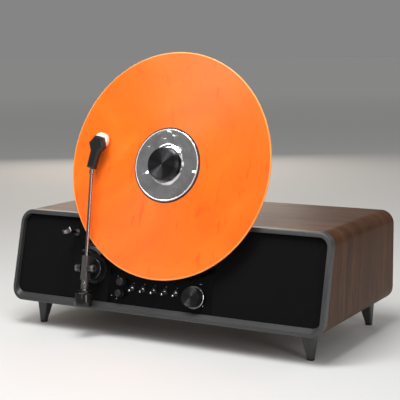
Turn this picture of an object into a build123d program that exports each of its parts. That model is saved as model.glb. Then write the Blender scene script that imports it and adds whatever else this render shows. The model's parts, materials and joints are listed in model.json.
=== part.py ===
"""Upright record player: a speaker cabinet with a sloped front, a disc standing against it and a short arm.

Millimetres, +Z up, front towards -Y. The origin is on the surface it stands on, under the middle of the
whole object. Most places are given on the sloped front: x across, s up the slope from the cabinet's bottom
front edge, and n out of the front.
"""
import os
from math import acos, cos, degrees, radians, sin, tan

from build123d import *

os.makedirs("parts", exist_ok=True)

# Cabinet
cabinet_width = 475.0
cabinet_height = 124.0
cabinet_depth = 243.0
corner_radius = 18.0
front_tilt = 14.0
wood_thick = 12.0
bezel_depth = 10.0
bezel_lip = 5.5
recess_depth = 6.0
sill_height = 6.2
bezel_round = 1.6
baffle_thick = 12.0
back_panel_thick = 4.0
back_inset = 9.0
fit_gap = 0.3

# Feet
foot_height = 37.0
foot_pad_thick = 2.0
foot_top_size = 19.0
foot_tip_size = 8.6
foot_corner = 2.4
foot_splay = 3.2
foot_side_inset = 30.0
foot_front_inset = 34.0
foot_back_inset = 12.0
foot_stud_radius = 4.0
foot_stud_length = 8.0
stud_clearance = 0.05

# Grilles and speakers
grille_cloth_thick = 1.0
grille_board_thick = 3.0
speaker_inset = 53.5
speaker_opening = 33.0
speaker_flange_radius = 39.0
speaker_flange_thick = 2.0
speaker_wall = 2.0
speaker_depth = 24.0
magnet_radius = 25.0
magnet_bore = 10.0
magnet_thick = 13.0
cone_edge_gap = 1.2
cone_roll = 5.0
cone_depth = 14.0
cone_thick = 1.0
dust_cap_radius = 9.0
dust_cap_bulge = 4.5

# Control panel and what is on it
panel_half_width = 80.0
panel_thick = 4.0
panel_window_margin = 6.0
panel_window_rise = 7.5
board_drop = 8.0
board_thick = 1.6
pot_radius = 6.4
pot_wall = 1.5
pot_bush_radius = 3.5
shaft_radius = 3.0
shaft_clearance = 0.06
volume_x = 52.5
volume_s = 32.0
volume_radius = 13.0
volume_ring_radius = 15.0
volume_ring_thick = 1.5
volume_knob_height = 9.0
tone_x = (-57.0, -58.0)
tone_s = (41.5, 26.0)
tone_radius = (5.9, 5.2)
tone_knob_height = 9.4
toggle_count = 5
toggle_first_x = -40.7
toggle_pitch = 16.75
toggle_s = 35.0
toggle_lean = 28.0
toggle_length = 9.5
toggle_bush_radius = 2.9
toggle_bush_bore = 2.2
toggle_bush_rise = 3.0
toggle_bush_chamfer = 0.5
toggle_case_size = (8.0, 13.0)
toggle_ball_radius = 1.7
toggle_pin_radius = 0.45
toggle_pin_half = 2.0
toggle_neck_radius = 0.8
toggle_tip_radius = 1.5
toggle_nut_radius = 4.2
toggle_nut_thick = 2.0

# Disc, platter and drive
disc_rise = 71.4
record_radius = 150.8
record_thick = 2.0
record_back_n = 9.0
record_hole_radius = 3.62
label_radius = 50.0
label_thick = 0.2
mat_thick = 1.5
mat_radius = 58.0
platter_radius = 60.0
platter_thick = 4.5
drum_radius = 28.0
drum_height = 8.0
drum_wall = 4.0
platter_web = 2.0
platter_edge = 1.0
hub_wall = 5.0
hub_gap = 1.0
spindle_radius = 3.57
spindle_reach = 9.0
bearing_shaft_radius = 4.0
bearing_shaft_length = 24.0
bearing_barrel_radius = 9.0
bearing_flange_radius = 15.0
bearing_flange_thick = 3.0
clamp_radius = 48.0
clamp_thick = 2.0
clamp_hub_radius = 17.0
clamp_hub_height = 1.5
clamp_knob_radius = 21.3
clamp_knob_height = 10.5
motor_drop = 38.0
motor_radius = 15.0
motor_length = 24.0
motor_wall = 3.0
rotor_radius = 11.0
rotor_length = 14.0
motor_boss_radius = 4.0
motor_boss_height = 3.5
motor_shaft_radius = 1.0
pulley_radius = 4.0
pulley_flange_radius = 5.6
pulley_height = 7.0
belt_width = 4.0
belt_thick = 0.8
belt_gap = 0.3

# Column that carries the disc
column_depth = 42.0
column_head_radius = 40.0
column_foot_width = 88.0
column_wall = 3.0
column_front_wall = 4.0
column_base_thick = 4.0
column_cover_thick = 3.0
column_lip_height = 2.5
column_edge_round = 1.2
column_bolt_x = 30.0
column_bolt_rows = (17.0, 35.0)
bolt_radius = 2.0
bolt_head_radius = 3.6
bolt_head_height = 2.6
bolt_clearance = 0.1
cable_hole_radius = 6.0

# Small screws
screw_radius = 1.5
screw_head_radius = 2.8
screw_head_height = 1.8
screw_length = 9.0
cover_screw_length = 14.0
cover_boss_radius = 4.0
cover_screw_inset = 7.0
block_size = 16.0
block_length = 22.0

# Sockets on the back
socket_x = 120.0
socket_pitch = 20.0
line_out_radius = 4.15
line_out_bore = 1.6
line_out_reach = 8.0
line_out_bush_radius = 5.2
line_out_bush_rise = 0.6
socket_body_size = 12.0
amp_gap = 12.0
power_x = -150.0
power_bush_radius = 4.0
power_bore = 2.85
power_pin_radius = 1.0
power_reach = 2.0
power_depth = 10.0
amp_board_size = (130.0, 70.0)
heat_sink_size = (60.0, 22.0)
heat_sink_base_thick = 3.0
heat_sink_fins = 6
heat_sink_fin_thick = 2.0
heat_sink_fin_height = 12.0

# Tonearm
arm_x = -104.5
arm_drop = 145.2
arm_n = 17.5
arm_heading = 2.57
arm_rise = 2.0
arm_base_radius = 19.0
arm_base_thick = 2.0
arm_base_boss_radius = 12.0
swing_post_radius = 8.0
swing_post_height = 7.0
swing_clearance = 0.06
turret_radius = 15.3
turret_height = 8.7
turret_roof = 1.7
turret_chamfer = 0.8
cheek_sink = 0.5
cheek_step = 0.8
cheek_gap = 0.5
cheek_thick = 9.0
cheek_radius = 5.8
pivot_pin_radius = 1.5
pivot_clearance = 0.05
arm_body_width = 10.5
arm_body_depth = 10.0
arm_body_front = 17.0
arm_body_rear = 15.5
arm_body_taper = 1.2
arm_body_corner = 2.0
arm_collar_radius = 5.1
arm_collar_length = 13.0
collar_groove_count = 3
collar_groove_start = 1.2
collar_groove_pitch = 1.8
collar_groove_width = 0.8
collar_groove_depth = 0.6
collar_rear_land = 3.0
tube_radius = 2.3
tube_end = 140.0
tube_collar_radius = 3.2
tube_collar_length = 6.0
tube_collar_y = 126.0
socket_depth = 6.0
joint_clearance = 0.02
stub_radius = 3.0
stub_length = 50.0
dial_radius = 11.0
dial_thick = 3.0
weight_radius = 12.5
weight_length = 18.0
weight_far_y = 51.0
weight_clearance = 0.1
lift_angle = 2.8

# Headshell and cartridge
shell_offset_angle = 14.2
shell_x = -0.5
shell_y = 134.5
shell_neck_half = 6.2
shell_neck_length = 23.0
shell_head_half = 13.0
shell_widest = 32.5
shell_tip_half = 6.0
shell_length = 44.5
shell_thick = 8.5
shell_below = 3.0
shell_facet = 2.3
cartridge_radius = 10.5
cartridge_centre = 39.7
cartridge_width = 14.0
cartridge_rear = 28.0
cartridge_height = 7.0
stylus_at = 44.0
stylus_radius = 0.9
stylus_tip_radius = 0.25
stylus_gap = 0.3

# Arm lift and arm rest
lift_bar_radius = 28.5
lift_bar_width = 4.0
lift_bar_thick = 2.5
lift_bar_gap = 0.6
lift_bar_left = 9.0
lift_bar_right = 46.0
lift_barrel_radius = 4.5
lift_barrel_height = 14.0
lift_barrel_floor = 1.0
lift_rod_radius = 1.5
lift_rod_clearance = 0.1
lift_ear_radius = 8.0
lift_lever_length = 10.0
lift_lever_angle = 200.0
lift_lever_thick = 3.0
lift_lever_width = 3.0
rest_distance = 60.3
rest_angle = 37.7
rest_base_radius = 4.6
rest_post_radius = 2.2
rest_gap = 0.5
rest_shelf_thick = 2.5
rest_wall_thick = 2.2
rest_wall_height = 6.0
rest_length = 7.0
rest_stud_radius = 1.5

# Worked out from the sizes above
tilt = radians(front_tilt)
front_height = cabinet_height / cos(tilt)
disc_s = front_height + disc_rise
arm_s = disc_s - arm_drop
speaker_s = front_height / 2
recess_n = -recess_depth
baffle_n = -bezel_depth
column_n = -bezel_depth
weight_reach = (arm_n + weight_radius) * cos(tilt) - (arm_s - weight_far_y) * sin(tilt)
front_y = -(cabinet_depth - weight_reach) / 2
back_y = front_y + cabinet_depth
top_z = foot_height + cabinet_height
middle_z = foot_height + cabinet_height / 2
inner_width = cabinet_width - 2 * wood_thick
speaker_x = inner_width / 2 - speaker_inset
foot_half_spacing = cabinet_width / 2 - foot_side_inset
inner_height = cabinet_height - 2 * wood_thick
inner_radius = corner_radius - wood_thick
opening_width = cabinet_width - 2 * bezel_lip
opening_radius = corner_radius - bezel_lip
opening_low = bezel_lip + sill_height
opening_high = front_height - bezel_lip
opening_height = opening_high - opening_low
opening_s = (opening_low + opening_high) / 2
record_front_n = record_back_n + record_thick
mat_n = record_back_n - mat_thick
platter_n = mat_n - platter_thick
drum_n = platter_n - drum_height
belt_n = drum_n + (drum_height - belt_width) / 2
cover_n = column_n - column_depth
motor_s = disc_s - motor_drop
tube_underside = arm_n - tube_radius

front = Plane(origin=(0, front_y, foot_height), x_dir=(1, 0, 0), z_dir=(0, -cos(tilt), sin(tilt)))
cabinet_rear = Plane.XZ.offset(-back_y)
cabinet_top = Plane.XY.offset(top_z)


def seat(x, s, n=0.0, turn=0.0):
    """Plane parallel to the front at x, s and n, turned about its normal."""
    return Plane(front.location * Location((x, s, n)) * Location((0, 0, 0), (0, 0, turn)))


def disc(base, radius, height, bore=0.0, mode=Mode.ADD):
    """Round plate or bar standing on the plane base."""
    with BuildSketch(base) as outline:
        Circle(radius)
        if bore:
            Circle(bore, mode=Mode.SUBTRACT)
    extrude(outline.sketch, amount=height, mode=mode)


def lathe(base, outline, mode=Mode.ADD):
    """Turn an outline of (radius, height) points about the normal of the plane base."""
    with BuildSketch(Plane(base.origin, x_dir=base.x_dir, z_dir=-base.y_dir)) as profile:
        with BuildLine():
            Polyline(*outline, close=True)
        make_face()
    revolve(profile.sketch, axis=Axis(base.origin, base.z_dir), mode=mode)


def block(base, size, mode=Mode.ADD):
    """Box of size (x, y, z) standing centred on the plane base."""
    with BuildSketch(base) as outline:
        Rectangle(size[0], size[1])
    extrude(outline.sketch, amount=size[2], mode=mode)


def tunnel(width, height, radius, outer=None):
    """Rounded tube or bar along the cabinet's depth, longer than the cabinet."""
    with BuildSketch(cabinet_rear) as outline:
        with Locations((0, middle_z)):
            if outer:
                RectangleRounded(*outer)
                RectangleRounded(width, height, radius, mode=Mode.SUBTRACT)
            else:
                RectangleRounded(width, height, radius)
    extrude(outline.sketch, amount=cabinet_depth + weight_reach)


# Places on the front that several pieces share
arm_post = seat(arm_x, arm_s)
lift_heading = arm_heading + lift_bar_left - 1.0
lift_x = arm_x - lift_bar_radius * sin(radians(lift_heading))
lift_s = arm_s + lift_bar_radius * cos(radians(lift_heading))
rest_x = arm_x - rest_distance * sin(radians(rest_angle))
rest_s = arm_s + rest_distance * cos(radians(rest_angle))
toggle_x = [toggle_first_x + i * toggle_pitch for i in range(toggle_count)]
knob_places = [(volume_x, volume_s), *zip(tone_x, tone_s)]
foot_rows = ((front_y + foot_front_inset, foot_splay), (back_y - foot_back_inset, -foot_splay))
foot_tips = [(side * foot_half_spacing, y) for y, lean in foot_rows for side in (-1, 1)]
foot_tops = [(side * (foot_half_spacing - foot_splay), y + lean) for y, lean in foot_rows for side in (-1, 1)]
block_places = [
    (side * (inner_width - block_size) / 2, middle_z + up * (inner_height - block_size) / 2)
    for up in (-1, 1)
    for side in (-1, 1)
]
column_front_y = front_y + cabinet_height * tan(tilt) + bezel_depth / cos(tilt)
bolt_places = [(side * column_bolt_x, column_front_y + row) for row in column_bolt_rows for side in (-1, 1)]
cable_place = (0, column_front_y + sum(column_bolt_rows) / 2)
cover_screw_places = [
    (0, disc_s + column_head_radius - cover_screw_inset),
    (-column_foot_width / 2 + cover_screw_inset, motor_s),
    (column_foot_width / 2 - cover_screw_inset, motor_s),
]

# The arm lies along its own plane: y towards the headshell, z away from the record
arm = Plane(
    front.location
    * Location((arm_x, arm_s, arm_n))
    * Location((0, 0, 0), (0, 0, arm_heading))
    * Location((0, 0, 0), (arm_rise, 0, 0))
)


def on_arm(x, y, z=0.0, turn=0.0):
    """Plane in the arm's own frame."""
    return Plane(arm.location * Location((x, y, z)) * Location((0, 0, 0), (0, 0, turn)))


def along_arm(y):
    """Plane square across the arm at y, looking towards the headshell."""
    return Plane(origin=on_arm(0, y).origin, x_dir=arm.x_dir, z_dir=arm.y_dir)


# Bent wooden wrap: a rounded tube cut off along the slope of the front
with BuildPart() as cabinet_wrap:
    tunnel(inner_width, inner_height, inner_radius, (cabinet_width, cabinet_height, corner_radius))
    split(bisect_by=front.offset(-bezel_depth), keep=Keep.BOTTOM)
    with BuildSketch(Plane.XY.offset(foot_height)):
        with Locations(*foot_tops):
            Circle(foot_stud_radius + stud_clearance)
    extrude(amount=foot_stud_length + fit_gap, mode=Mode.SUBTRACT)
    with BuildSketch(cabinet_top):
        with Locations(*bolt_places):
            Circle(bolt_radius + bolt_clearance)
        with Locations(cable_place):
            Circle(cable_hole_radius)
    extrude(amount=-wood_thick, mode=Mode.SUBTRACT)

# Painted frame round the front: a thin lip with a rounded outer edge, and a sill that slopes down to the recess
with BuildPart() as front_bezel:
    tunnel(cabinet_width, cabinet_height, corner_radius)
    split(bisect_by=front, keep=Keep.BOTTOM)
    split(bisect_by=front.offset(-bezel_depth), keep=Keep.TOP)
    face = front_bezel.faces().sort_by(Axis(front.origin, front.z_dir))[-1]
    fillet(face.outer_wire().edges(), bezel_round)
    with BuildSketch(seat(0, opening_s, baffle_n)):
        RectangleRounded(opening_width, opening_height, opening_radius)
    extrude(amount=bezel_depth, mode=Mode.SUBTRACT)
    with BuildSketch(seat(0, opening_s, recess_n)):
        RectangleRounded(opening_width, opening_height, opening_radius)
    with BuildSketch(seat(0, front_height / 2)):
        RectangleRounded(opening_width, front_height - 2 * bezel_lip, opening_radius)
    loft(mode=Mode.SUBTRACT)

# Board behind the bezel that carries the speakers, the controls and the arm
with BuildPart() as baffle_board:
    tunnel(inner_width - 2 * fit_gap, inner_height - 2 * fit_gap, inner_radius - fit_gap)
    split(bisect_by=front.offset(baffle_n), keep=Keep.BOTTOM)
    split(bisect_by=front.offset(baffle_n - baffle_thick), keep=Keep.TOP)
    baffle_back = baffle_n - baffle_thick
    for x in (-speaker_x, speaker_x):
        disc(seat(x, speaker_s, baffle_back), speaker_opening, baffle_thick, mode=Mode.SUBTRACT)
    window_width = 2 * (panel_half_width - panel_window_margin)
    window_height = opening_height - 2 * panel_window_rise
    block(seat(0, opening_s, baffle_back), (window_width, window_height, baffle_thick), Mode.SUBTRACT)
    rest_hole = seat(rest_x, rest_s, baffle_back)
    disc(rest_hole, rest_stud_radius + stud_clearance, baffle_thick, mode=Mode.SUBTRACT)


def grille_outline():
    """Both halves of the recess beside the control panel, with the arm's openings cut out."""
    with BuildSketch(seat(0, opening_s)) as outline:
        RectangleRounded(opening_width - 2 * fit_gap, opening_height - 2 * fit_gap, opening_radius - fit_gap)
        Rectangle(2 * (panel_half_width + fit_gap), opening_height, mode=Mode.SUBTRACT)
        with Locations((arm_x, arm_s - opening_s)):
            Circle(arm_base_boss_radius + fit_gap, mode=Mode.SUBTRACT)
        with Locations((rest_x, rest_s - opening_s)):
            Circle(rest_stud_radius + fit_gap, mode=Mode.SUBTRACT)
    return outline.sketch


# Boards and cloths of the two grilles
with BuildPart() as grille_boards:
    extrude(grille_outline().moved(Location(front.z_dir * baffle_n)), amount=grille_board_thick)
    for x in (-speaker_x, speaker_x):
        disc(seat(x, speaker_s, baffle_n), speaker_opening, grille_board_thick, mode=Mode.SUBTRACT)

with BuildPart() as grille_cloths:
    cloth_back = baffle_n + grille_board_thick
    extrude(grille_outline().moved(Location(front.z_dir * cloth_back)), amount=grille_cloth_thick)

# Gloss panel between the grilles, drilled for the knobs and the toggles
with BuildPart() as control_panel:
    panel_size = (2 * panel_half_width, opening_height - 2 * fit_gap, panel_thick)
    block(seat(0, opening_s, recess_n - panel_thick), panel_size)
    for x, s in knob_places:
        panel_hole = seat(x, s, recess_n - panel_thick)
        disc(panel_hole, pot_bush_radius + shaft_clearance, panel_thick, mode=Mode.SUBTRACT)
    for x in toggle_x:
        panel_hole = seat(x, toggle_s, recess_n - panel_thick)
        disc(panel_hole, toggle_bush_radius + shaft_clearance, panel_thick, mode=Mode.SUBTRACT)

# Back panel, the four glued corner blocks that it is screwed to, and its sockets' holes
panel_back_y = back_y - back_inset
with BuildPart() as back_panel:
    with BuildSketch(Plane.XZ.offset(-panel_back_y)):
        with Locations((0, middle_z)):
            RectangleRounded(inner_width - 2 * fit_gap, inner_height - 2 * fit_gap, inner_radius - fit_gap)
        with Locations(*block_places):
            Circle(screw_radius + bolt_clearance, mode=Mode.SUBTRACT)
        with Locations((socket_x, middle_z), (socket_x + socket_pitch, middle_z)):
            Circle(line_out_bush_radius + bolt_clearance, mode=Mode.SUBTRACT)
        with Locations((power_x, middle_z)):
            Circle(power_bush_radius + bolt_clearance, mode=Mode.SUBTRACT)
    extrude(amount=back_panel_thick)

with BuildPart() as corner_blocks:
    with BuildSketch(Plane.XZ.offset(-(panel_back_y - back_panel_thick))):
        with Locations(*block_places):
            RectangleRounded(block_size - fit_gap, block_size - fit_gap, inner_radius)
            Circle(screw_radius, mode=Mode.SUBTRACT)
    extrude(amount=block_length)

# Splayed, tapered feet with a stud up into the wood, and their rubber pads
with BuildPart() as feet:
    for top, tip in zip(foot_tops, foot_tips):
        with BuildSketch(Plane.XY.offset(foot_height)):
            with Locations(top):
                RectangleRounded(foot_top_size, foot_top_size, foot_corner)
        with BuildSketch(Plane.XY.offset(foot_pad_thick)):
            with Locations(tip):
                RectangleRounded(foot_tip_size, foot_tip_size, foot_corner)
        loft()
    with BuildSketch(Plane.XY.offset(foot_height)):
        with Locations(*foot_tops):
            Circle(foot_stud_radius)
    extrude(amount=foot_stud_length)

with BuildPart() as foot_pads:
    with BuildSketch(Plane.XY):
        with Locations(*foot_tips):
            RectangleRounded(foot_tip_size, foot_tip_size, foot_corner)
    extrude(amount=foot_pad_thick)

# Speakers: pressed baskets, paper cones with a rolled edge and a dust cap, and ring magnets
basket_n = baffle_n - baffle_thick
with BuildPart() as speaker_baskets:
    for x in (-speaker_x, speaker_x):
        lathe(
            seat(x, speaker_s, basket_n),
            [
                (speaker_opening, 0),
                (speaker_flange_radius, 0),
                (speaker_flange_radius, -speaker_flange_thick),
                (speaker_opening + speaker_wall, -speaker_flange_thick),
                (magnet_radius, -speaker_depth),
                (magnet_bore, -speaker_depth),
                (magnet_bore, speaker_wall - speaker_depth),
                (magnet_radius - speaker_wall, speaker_wall - speaker_depth),
            ],
        )

with BuildPart() as speaker_cones:
    cone_edge = speaker_opening - cone_edge_gap
    cap_sphere = (dust_cap_radius**2 + dust_cap_bulge**2) / (2 * dust_cap_bulge)
    cap_centre = (0, dust_cap_bulge - cone_depth - cap_sphere)
    cap_angle = degrees(acos(dust_cap_radius / cap_sphere))
    for x in (-speaker_x, speaker_x):
        middle = seat(x, speaker_s, basket_n)
        with BuildSketch(Plane(middle.origin, x_dir=middle.x_dir, z_dir=-middle.y_dir)):
            with BuildLine():
                roll = ThreePointArc(
                    (cone_edge, 0), (cone_edge - cone_roll / 2, cone_roll / 2), (cone_edge - cone_roll, 0)
                )
                cap = CenterArc(cap_centre, cap_sphere, cap_angle, 90 - cap_angle)
                Line(roll @ 1, cap @ 0)
                Polyline(
                    cap @ 1,
                    (0, -cone_depth - cone_thick),
                    (dust_cap_radius, -cone_depth - cone_thick),
                    (cone_edge - cone_roll, -cone_thick),
                    (cone_edge, -cone_thick),
                    roll @ 0,
                )
            make_face()
        revolve(axis=Axis(middle.origin, middle.z_dir))

with BuildPart() as speaker_magnets:
    for x in (-speaker_x, speaker_x):
        disc(seat(x, speaker_s, basket_n - speaker_depth), magnet_radius, -magnet_thick, bore=magnet_bore)

# Potentiometers and toggle switches behind the panel, and the board that they are soldered to
body_n = recess_n - panel_thick
with BuildPart() as potentiometers:
    for x, s in knob_places:
        pot_seat = seat(x, s, body_n)
        disc(pot_seat, pot_radius, -board_drop)
        disc(pot_seat, pot_bush_radius, panel_thick + volume_ring_thick)
        disc(pot_seat, shaft_radius + shaft_clearance, pot_wall - board_drop, mode=Mode.SUBTRACT)
        disc(pot_seat, shaft_radius + shaft_clearance, panel_thick + volume_ring_thick, mode=Mode.SUBTRACT)

with BuildPart() as toggle_switches:
    for x in toggle_x:
        switch_seat = seat(x, toggle_s, body_n)
        block(switch_seat, (*toggle_case_size, -board_drop))
        disc(switch_seat, toggle_bush_radius, panel_thick + toggle_bush_rise)
        bore_seat = seat(x, toggle_s, recess_n + toggle_bush_rise)
        lathe(
            bore_seat,
            [
                (0, 0),
                (toggle_bush_bore + toggle_bush_chamfer, 0),
                (toggle_bush_bore, -toggle_bush_chamfer),
                (toggle_bush_bore, -toggle_bush_rise - 1),
                (0, -toggle_bush_rise - 1),
            ],
            mode=Mode.SUBTRACT,
        )

with BuildPart() as toggle_nuts:
    for x in toggle_x:
        with BuildSketch(seat(x, toggle_s, recess_n)):
            RegularPolygon(toggle_nut_radius, 6)
            Circle(toggle_bush_radius + shaft_clearance, mode=Mode.SUBTRACT)
        extrude(amount=toggle_nut_thick)

with BuildPart() as control_board:
    board_size = (window_width - 2, window_height - 2, board_thick)
    block(seat(0, opening_s, body_n - board_drop - board_thick), board_size)

# Bright ring under the volume knob, and the three knobs with their shafts
with BuildPart() as volume_ring:
    disc(seat(volume_x, volume_s, recess_n), volume_ring_radius, volume_ring_thick, bore=pot_bush_radius + fit_gap)
    chamfer(volume_ring.edges().filter_by(GeomType.CIRCLE).sort_by(SortBy.RADIUS)[-1], 0.6)

knob_n = recess_n + volume_ring_thick + fit_gap
with BuildPart() as volume_knob:
    lathe(
        seat(volume_x, volume_s, knob_n),
        [
            (0, -board_drop),
            (shaft_radius, -board_drop),
            (shaft_radius, 0),
            (volume_radius, 0),
            (volume_radius, volume_knob_height - 1),
            (volume_radius - 0.8, volume_knob_height),
            (volume_radius - 2, volume_knob_height),
            (0, volume_knob_height - 0.8),
        ],
    )


def tone_knob(index):
    """Small knob with a waist and a raised pointer across its face."""
    x, s, radius = tone_x[index], tone_s[index], tone_radius[index]
    lathe(
        seat(x, s, knob_n),
        [
            (0, -board_drop),
            (shaft_radius, -board_drop),
            (shaft_radius, 0),
            (radius, 0),
            (radius, 1.5),
            (radius - 0.7, 3),
            (radius - 0.7, tone_knob_height - 0.6),
            (radius - 1.3, tone_knob_height),
            (0, tone_knob_height),
        ],
    )
    pointer = seat(x, s, knob_n + tone_knob_height)
    block(Plane(pointer.location * Location((0, radius / 2 - 0.7, 0))), (1.2, radius - 1.4, 0.6))


with BuildPart() as bass_knob:
    tone_knob(0)

with BuildPart() as treble_knob:
    tone_knob(1)


def toggle_lever(x):
    """Bat-shaped lever leaning down, with a cross pin through its ball in the mouth of the bush."""
    pivot = seat(x, toggle_s, recess_n + toggle_bush_rise - 1)
    lever_axis = Plane(pivot.location * Location((0, 0, 0), (toggle_lean, 0, 0)))
    with BuildPart() as lever:
        profile_plane = Plane(lever_axis.origin, x_dir=lever_axis.x_dir, z_dir=-lever_axis.y_dir)
        neck_angle = degrees(acos(toggle_neck_radius / toggle_ball_radius))
        with BuildSketch(profile_plane):
            with BuildLine():
                ball = CenterArc((0, 0), toggle_ball_radius, -90, 90 + neck_angle)
                tip = CenterArc((0, toggle_length - toggle_tip_radius), toggle_tip_radius, 0, 90)
                Line(ball @ 1, tip @ 0)
                Line(tip @ 1, ball @ 0)
            make_face()
        revolve(axis=Axis(lever_axis.origin, lever_axis.z_dir))
        pin_end = Plane(origin=pivot.origin - pivot.x_dir * toggle_pin_half, x_dir=pivot.y_dir, z_dir=pivot.x_dir)
        disc(pin_end, toggle_pin_radius, 2 * toggle_pin_half)
    return lever.part


# Amplifier board with its heat sink on the back panel, and the sockets
amp_y = panel_back_y - back_panel_thick - amp_gap
with BuildPart() as amplifier_board:
    with BuildSketch(Plane.XZ.offset(-amp_y)):
        with Locations((socket_x, middle_z)):
            Rectangle(*amp_board_size)
    extrude(amount=board_thick)

with BuildPart() as heat_sink:
    with BuildSketch(Plane.XZ.offset(-(amp_y - board_thick))):
        with Locations((socket_x, middle_z)):
            Rectangle(heat_sink_size[0], heat_sink_size[1])
    extrude(amount=heat_sink_base_thick)
    with BuildSketch(Plane.XZ.offset(-(amp_y - board_thick - heat_sink_base_thick))):
        with Locations((socket_x, middle_z)):
            with GridLocations(heat_sink_size[0] / heat_sink_fins, 1, heat_sink_fins, 1):
                Rectangle(heat_sink_fin_thick, heat_sink_size[1])
    extrude(amount=heat_sink_fin_height)

panel_front_y = panel_back_y - back_panel_thick
with BuildPart() as line_out_jacks:
    line_out_places = ((socket_x, middle_z), (socket_x + socket_pitch, middle_z))
    with BuildSketch(Plane.XZ.offset(-panel_front_y)):
        with Locations(*line_out_places):
            Rectangle(socket_body_size, socket_body_size)
    extrude(amount=amp_gap)
    with BuildSketch(Plane.XZ.offset(-panel_front_y)):
        with Locations(*line_out_places):
            Circle(line_out_bush_radius)
    extrude(amount=-back_panel_thick - line_out_bush_rise)
    with BuildSketch(Plane.XZ.offset(-panel_back_y - line_out_bush_rise)):
        with Locations(*line_out_places):
            Circle(line_out_radius)
    extrude(amount=-line_out_reach)
    with BuildSketch(Plane.XZ.offset(-panel_back_y - line_out_bush_rise - line_out_reach)):
        with Locations(*line_out_places):
            Circle(line_out_bore)
    extrude(amount=line_out_reach, mode=Mode.SUBTRACT)

with BuildPart() as power_jack:
    with BuildSketch(Plane.XZ.offset(-panel_front_y)):
        with Locations((power_x, middle_z)):
            Rectangle(socket_body_size, socket_body_size)
    extrude(amount=amp_gap)
    with BuildSketch(Plane.XZ.offset(-panel_front_y)):
        with Locations((power_x, middle_z)):
            Circle(power_bush_radius)
    extrude(amount=-back_panel_thick - power_reach)
    with BuildSketch(Plane.XZ.offset(-panel_back_y - power_reach)):
        with Locations((power_x, middle_z)):
            Circle(power_bore)
            Circle(power_pin_radius, mode=Mode.SUBTRACT)
    extrude(amount=power_depth, mode=Mode.SUBTRACT)


def column_outline(inset=0.0):
    """Column seen from the front: a round head running down to a slightly wider foot."""
    with BuildSketch(front) as outline:
        with Locations((0, disc_s)):
            Circle(column_head_radius - inset)
        with Locations((0, front_height / 2)):
            Rectangle(column_foot_width - 2 * inset, front_height / 2)
        make_hull()
    return outline.sketch


# Column behind the disc: a hollow housing, open at the back, standing on the cabinet's top
with BuildPart() as column_hollow:
    hollow_front = column_n - column_front_wall
    extrude(column_outline(column_wall).moved(Location(front.z_dir * hollow_front)), amount=-column_depth)
    split(bisect_by=cabinet_top.offset(column_base_thick), keep=Keep.TOP)

with BuildPart() as column:
    extrude(column_outline().moved(Location(front.z_dir * column_n)), amount=-column_depth)
    split(bisect_by=cabinet_top, keep=Keep.TOP)
    add(column_hollow.part, mode=Mode.SUBTRACT)
    disc(seat(0, disc_s, column_n), bearing_barrel_radius + fit_gap, -column_front_wall, mode=Mode.SUBTRACT)
    disc(seat(0, motor_s, column_n), motor_boss_radius + fit_gap, -column_front_wall, mode=Mode.SUBTRACT)
    with BuildSketch(cabinet_top):
        with Locations(*bolt_places):
            Circle(bolt_radius + joint_clearance)
        with Locations(cable_place):
            Circle(cable_hole_radius)
    extrude(amount=column_base_thick, mode=Mode.SUBTRACT)
    boss_foot_n = cover_n + column_lip_height + fit_gap
    for x, s in cover_screw_places:
        disc(seat(x, s, boss_foot_n), cover_boss_radius, hollow_front - boss_foot_n)
        disc(seat(x, s, boss_foot_n), screw_radius, cover_screw_length, mode=Mode.SUBTRACT)

# Cover that closes the column from behind, with a lip inside its walls
with BuildPart() as column_cover:
    at_cover = Location(front.z_dir * cover_n)
    lip_inset = column_wall + fit_gap
    extrude(column_outline(lip_inset).moved(at_cover), amount=column_lip_height)
    extrude(column_outline(lip_inset + column_wall).moved(at_cover), amount=column_lip_height, mode=Mode.SUBTRACT)
    split(bisect_by=cabinet_top.offset(column_base_thick + fit_gap), keep=Keep.TOP)
    extrude(column_outline().moved(at_cover), amount=-column_cover_thick)
    split(bisect_by=cabinet_top, keep=Keep.TOP)
    cover_face = column_cover.faces().sort_by(Axis(front.origin, front.z_dir))[0]
    fillet(cover_face.edges().sort_by(Axis.Z)[1:], column_edge_round)
    for x, s in cover_screw_places:
        cover_hole = seat(x, s, cover_n - column_cover_thick)
        hole_depth = column_cover_thick + column_lip_height
        disc(cover_hole, screw_radius + bolt_clearance, hole_depth, mode=Mode.SUBTRACT)

with BuildPart() as column_bolts:
    for radius, height in ((bolt_head_radius, -bolt_head_height), (bolt_radius, wood_thick + column_base_thick)):
        with BuildSketch(cabinet_top.offset(-wood_thick)):
            with Locations(*bolt_places):
                Circle(radius)
        extrude(amount=height)

# Bearing, spindle and platter
spindle_axis = seat(0, disc_s)
with BuildPart() as bearing_housing:
    flange_n = column_n + bearing_flange_thick
    lathe(
        spindle_axis,
        [
            (bearing_shaft_radius + shaft_clearance, flange_n),
            (bearing_flange_radius - 1, flange_n),
            (bearing_flange_radius, flange_n - 1),
            (bearing_flange_radius, column_n),
            (bearing_barrel_radius, column_n),
            (bearing_barrel_radius, column_n - bearing_shaft_length),
            (bearing_shaft_radius + shaft_clearance, column_n - bearing_shaft_length),
        ],
    )

with BuildPart() as spindle:
    tip_n = record_front_n + spindle_reach
    lathe(
        spindle_axis,
        [
            (0, column_n - bearing_shaft_length - 1),
            (bearing_shaft_radius, column_n - bearing_shaft_length - 1),
            (bearing_shaft_radius, mat_n),
            (spindle_radius, mat_n),
            (spindle_radius, tip_n - 2),
            (spindle_radius - 1.2, tip_n - 0.5),
            (0, tip_n),
        ],
    )

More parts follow.
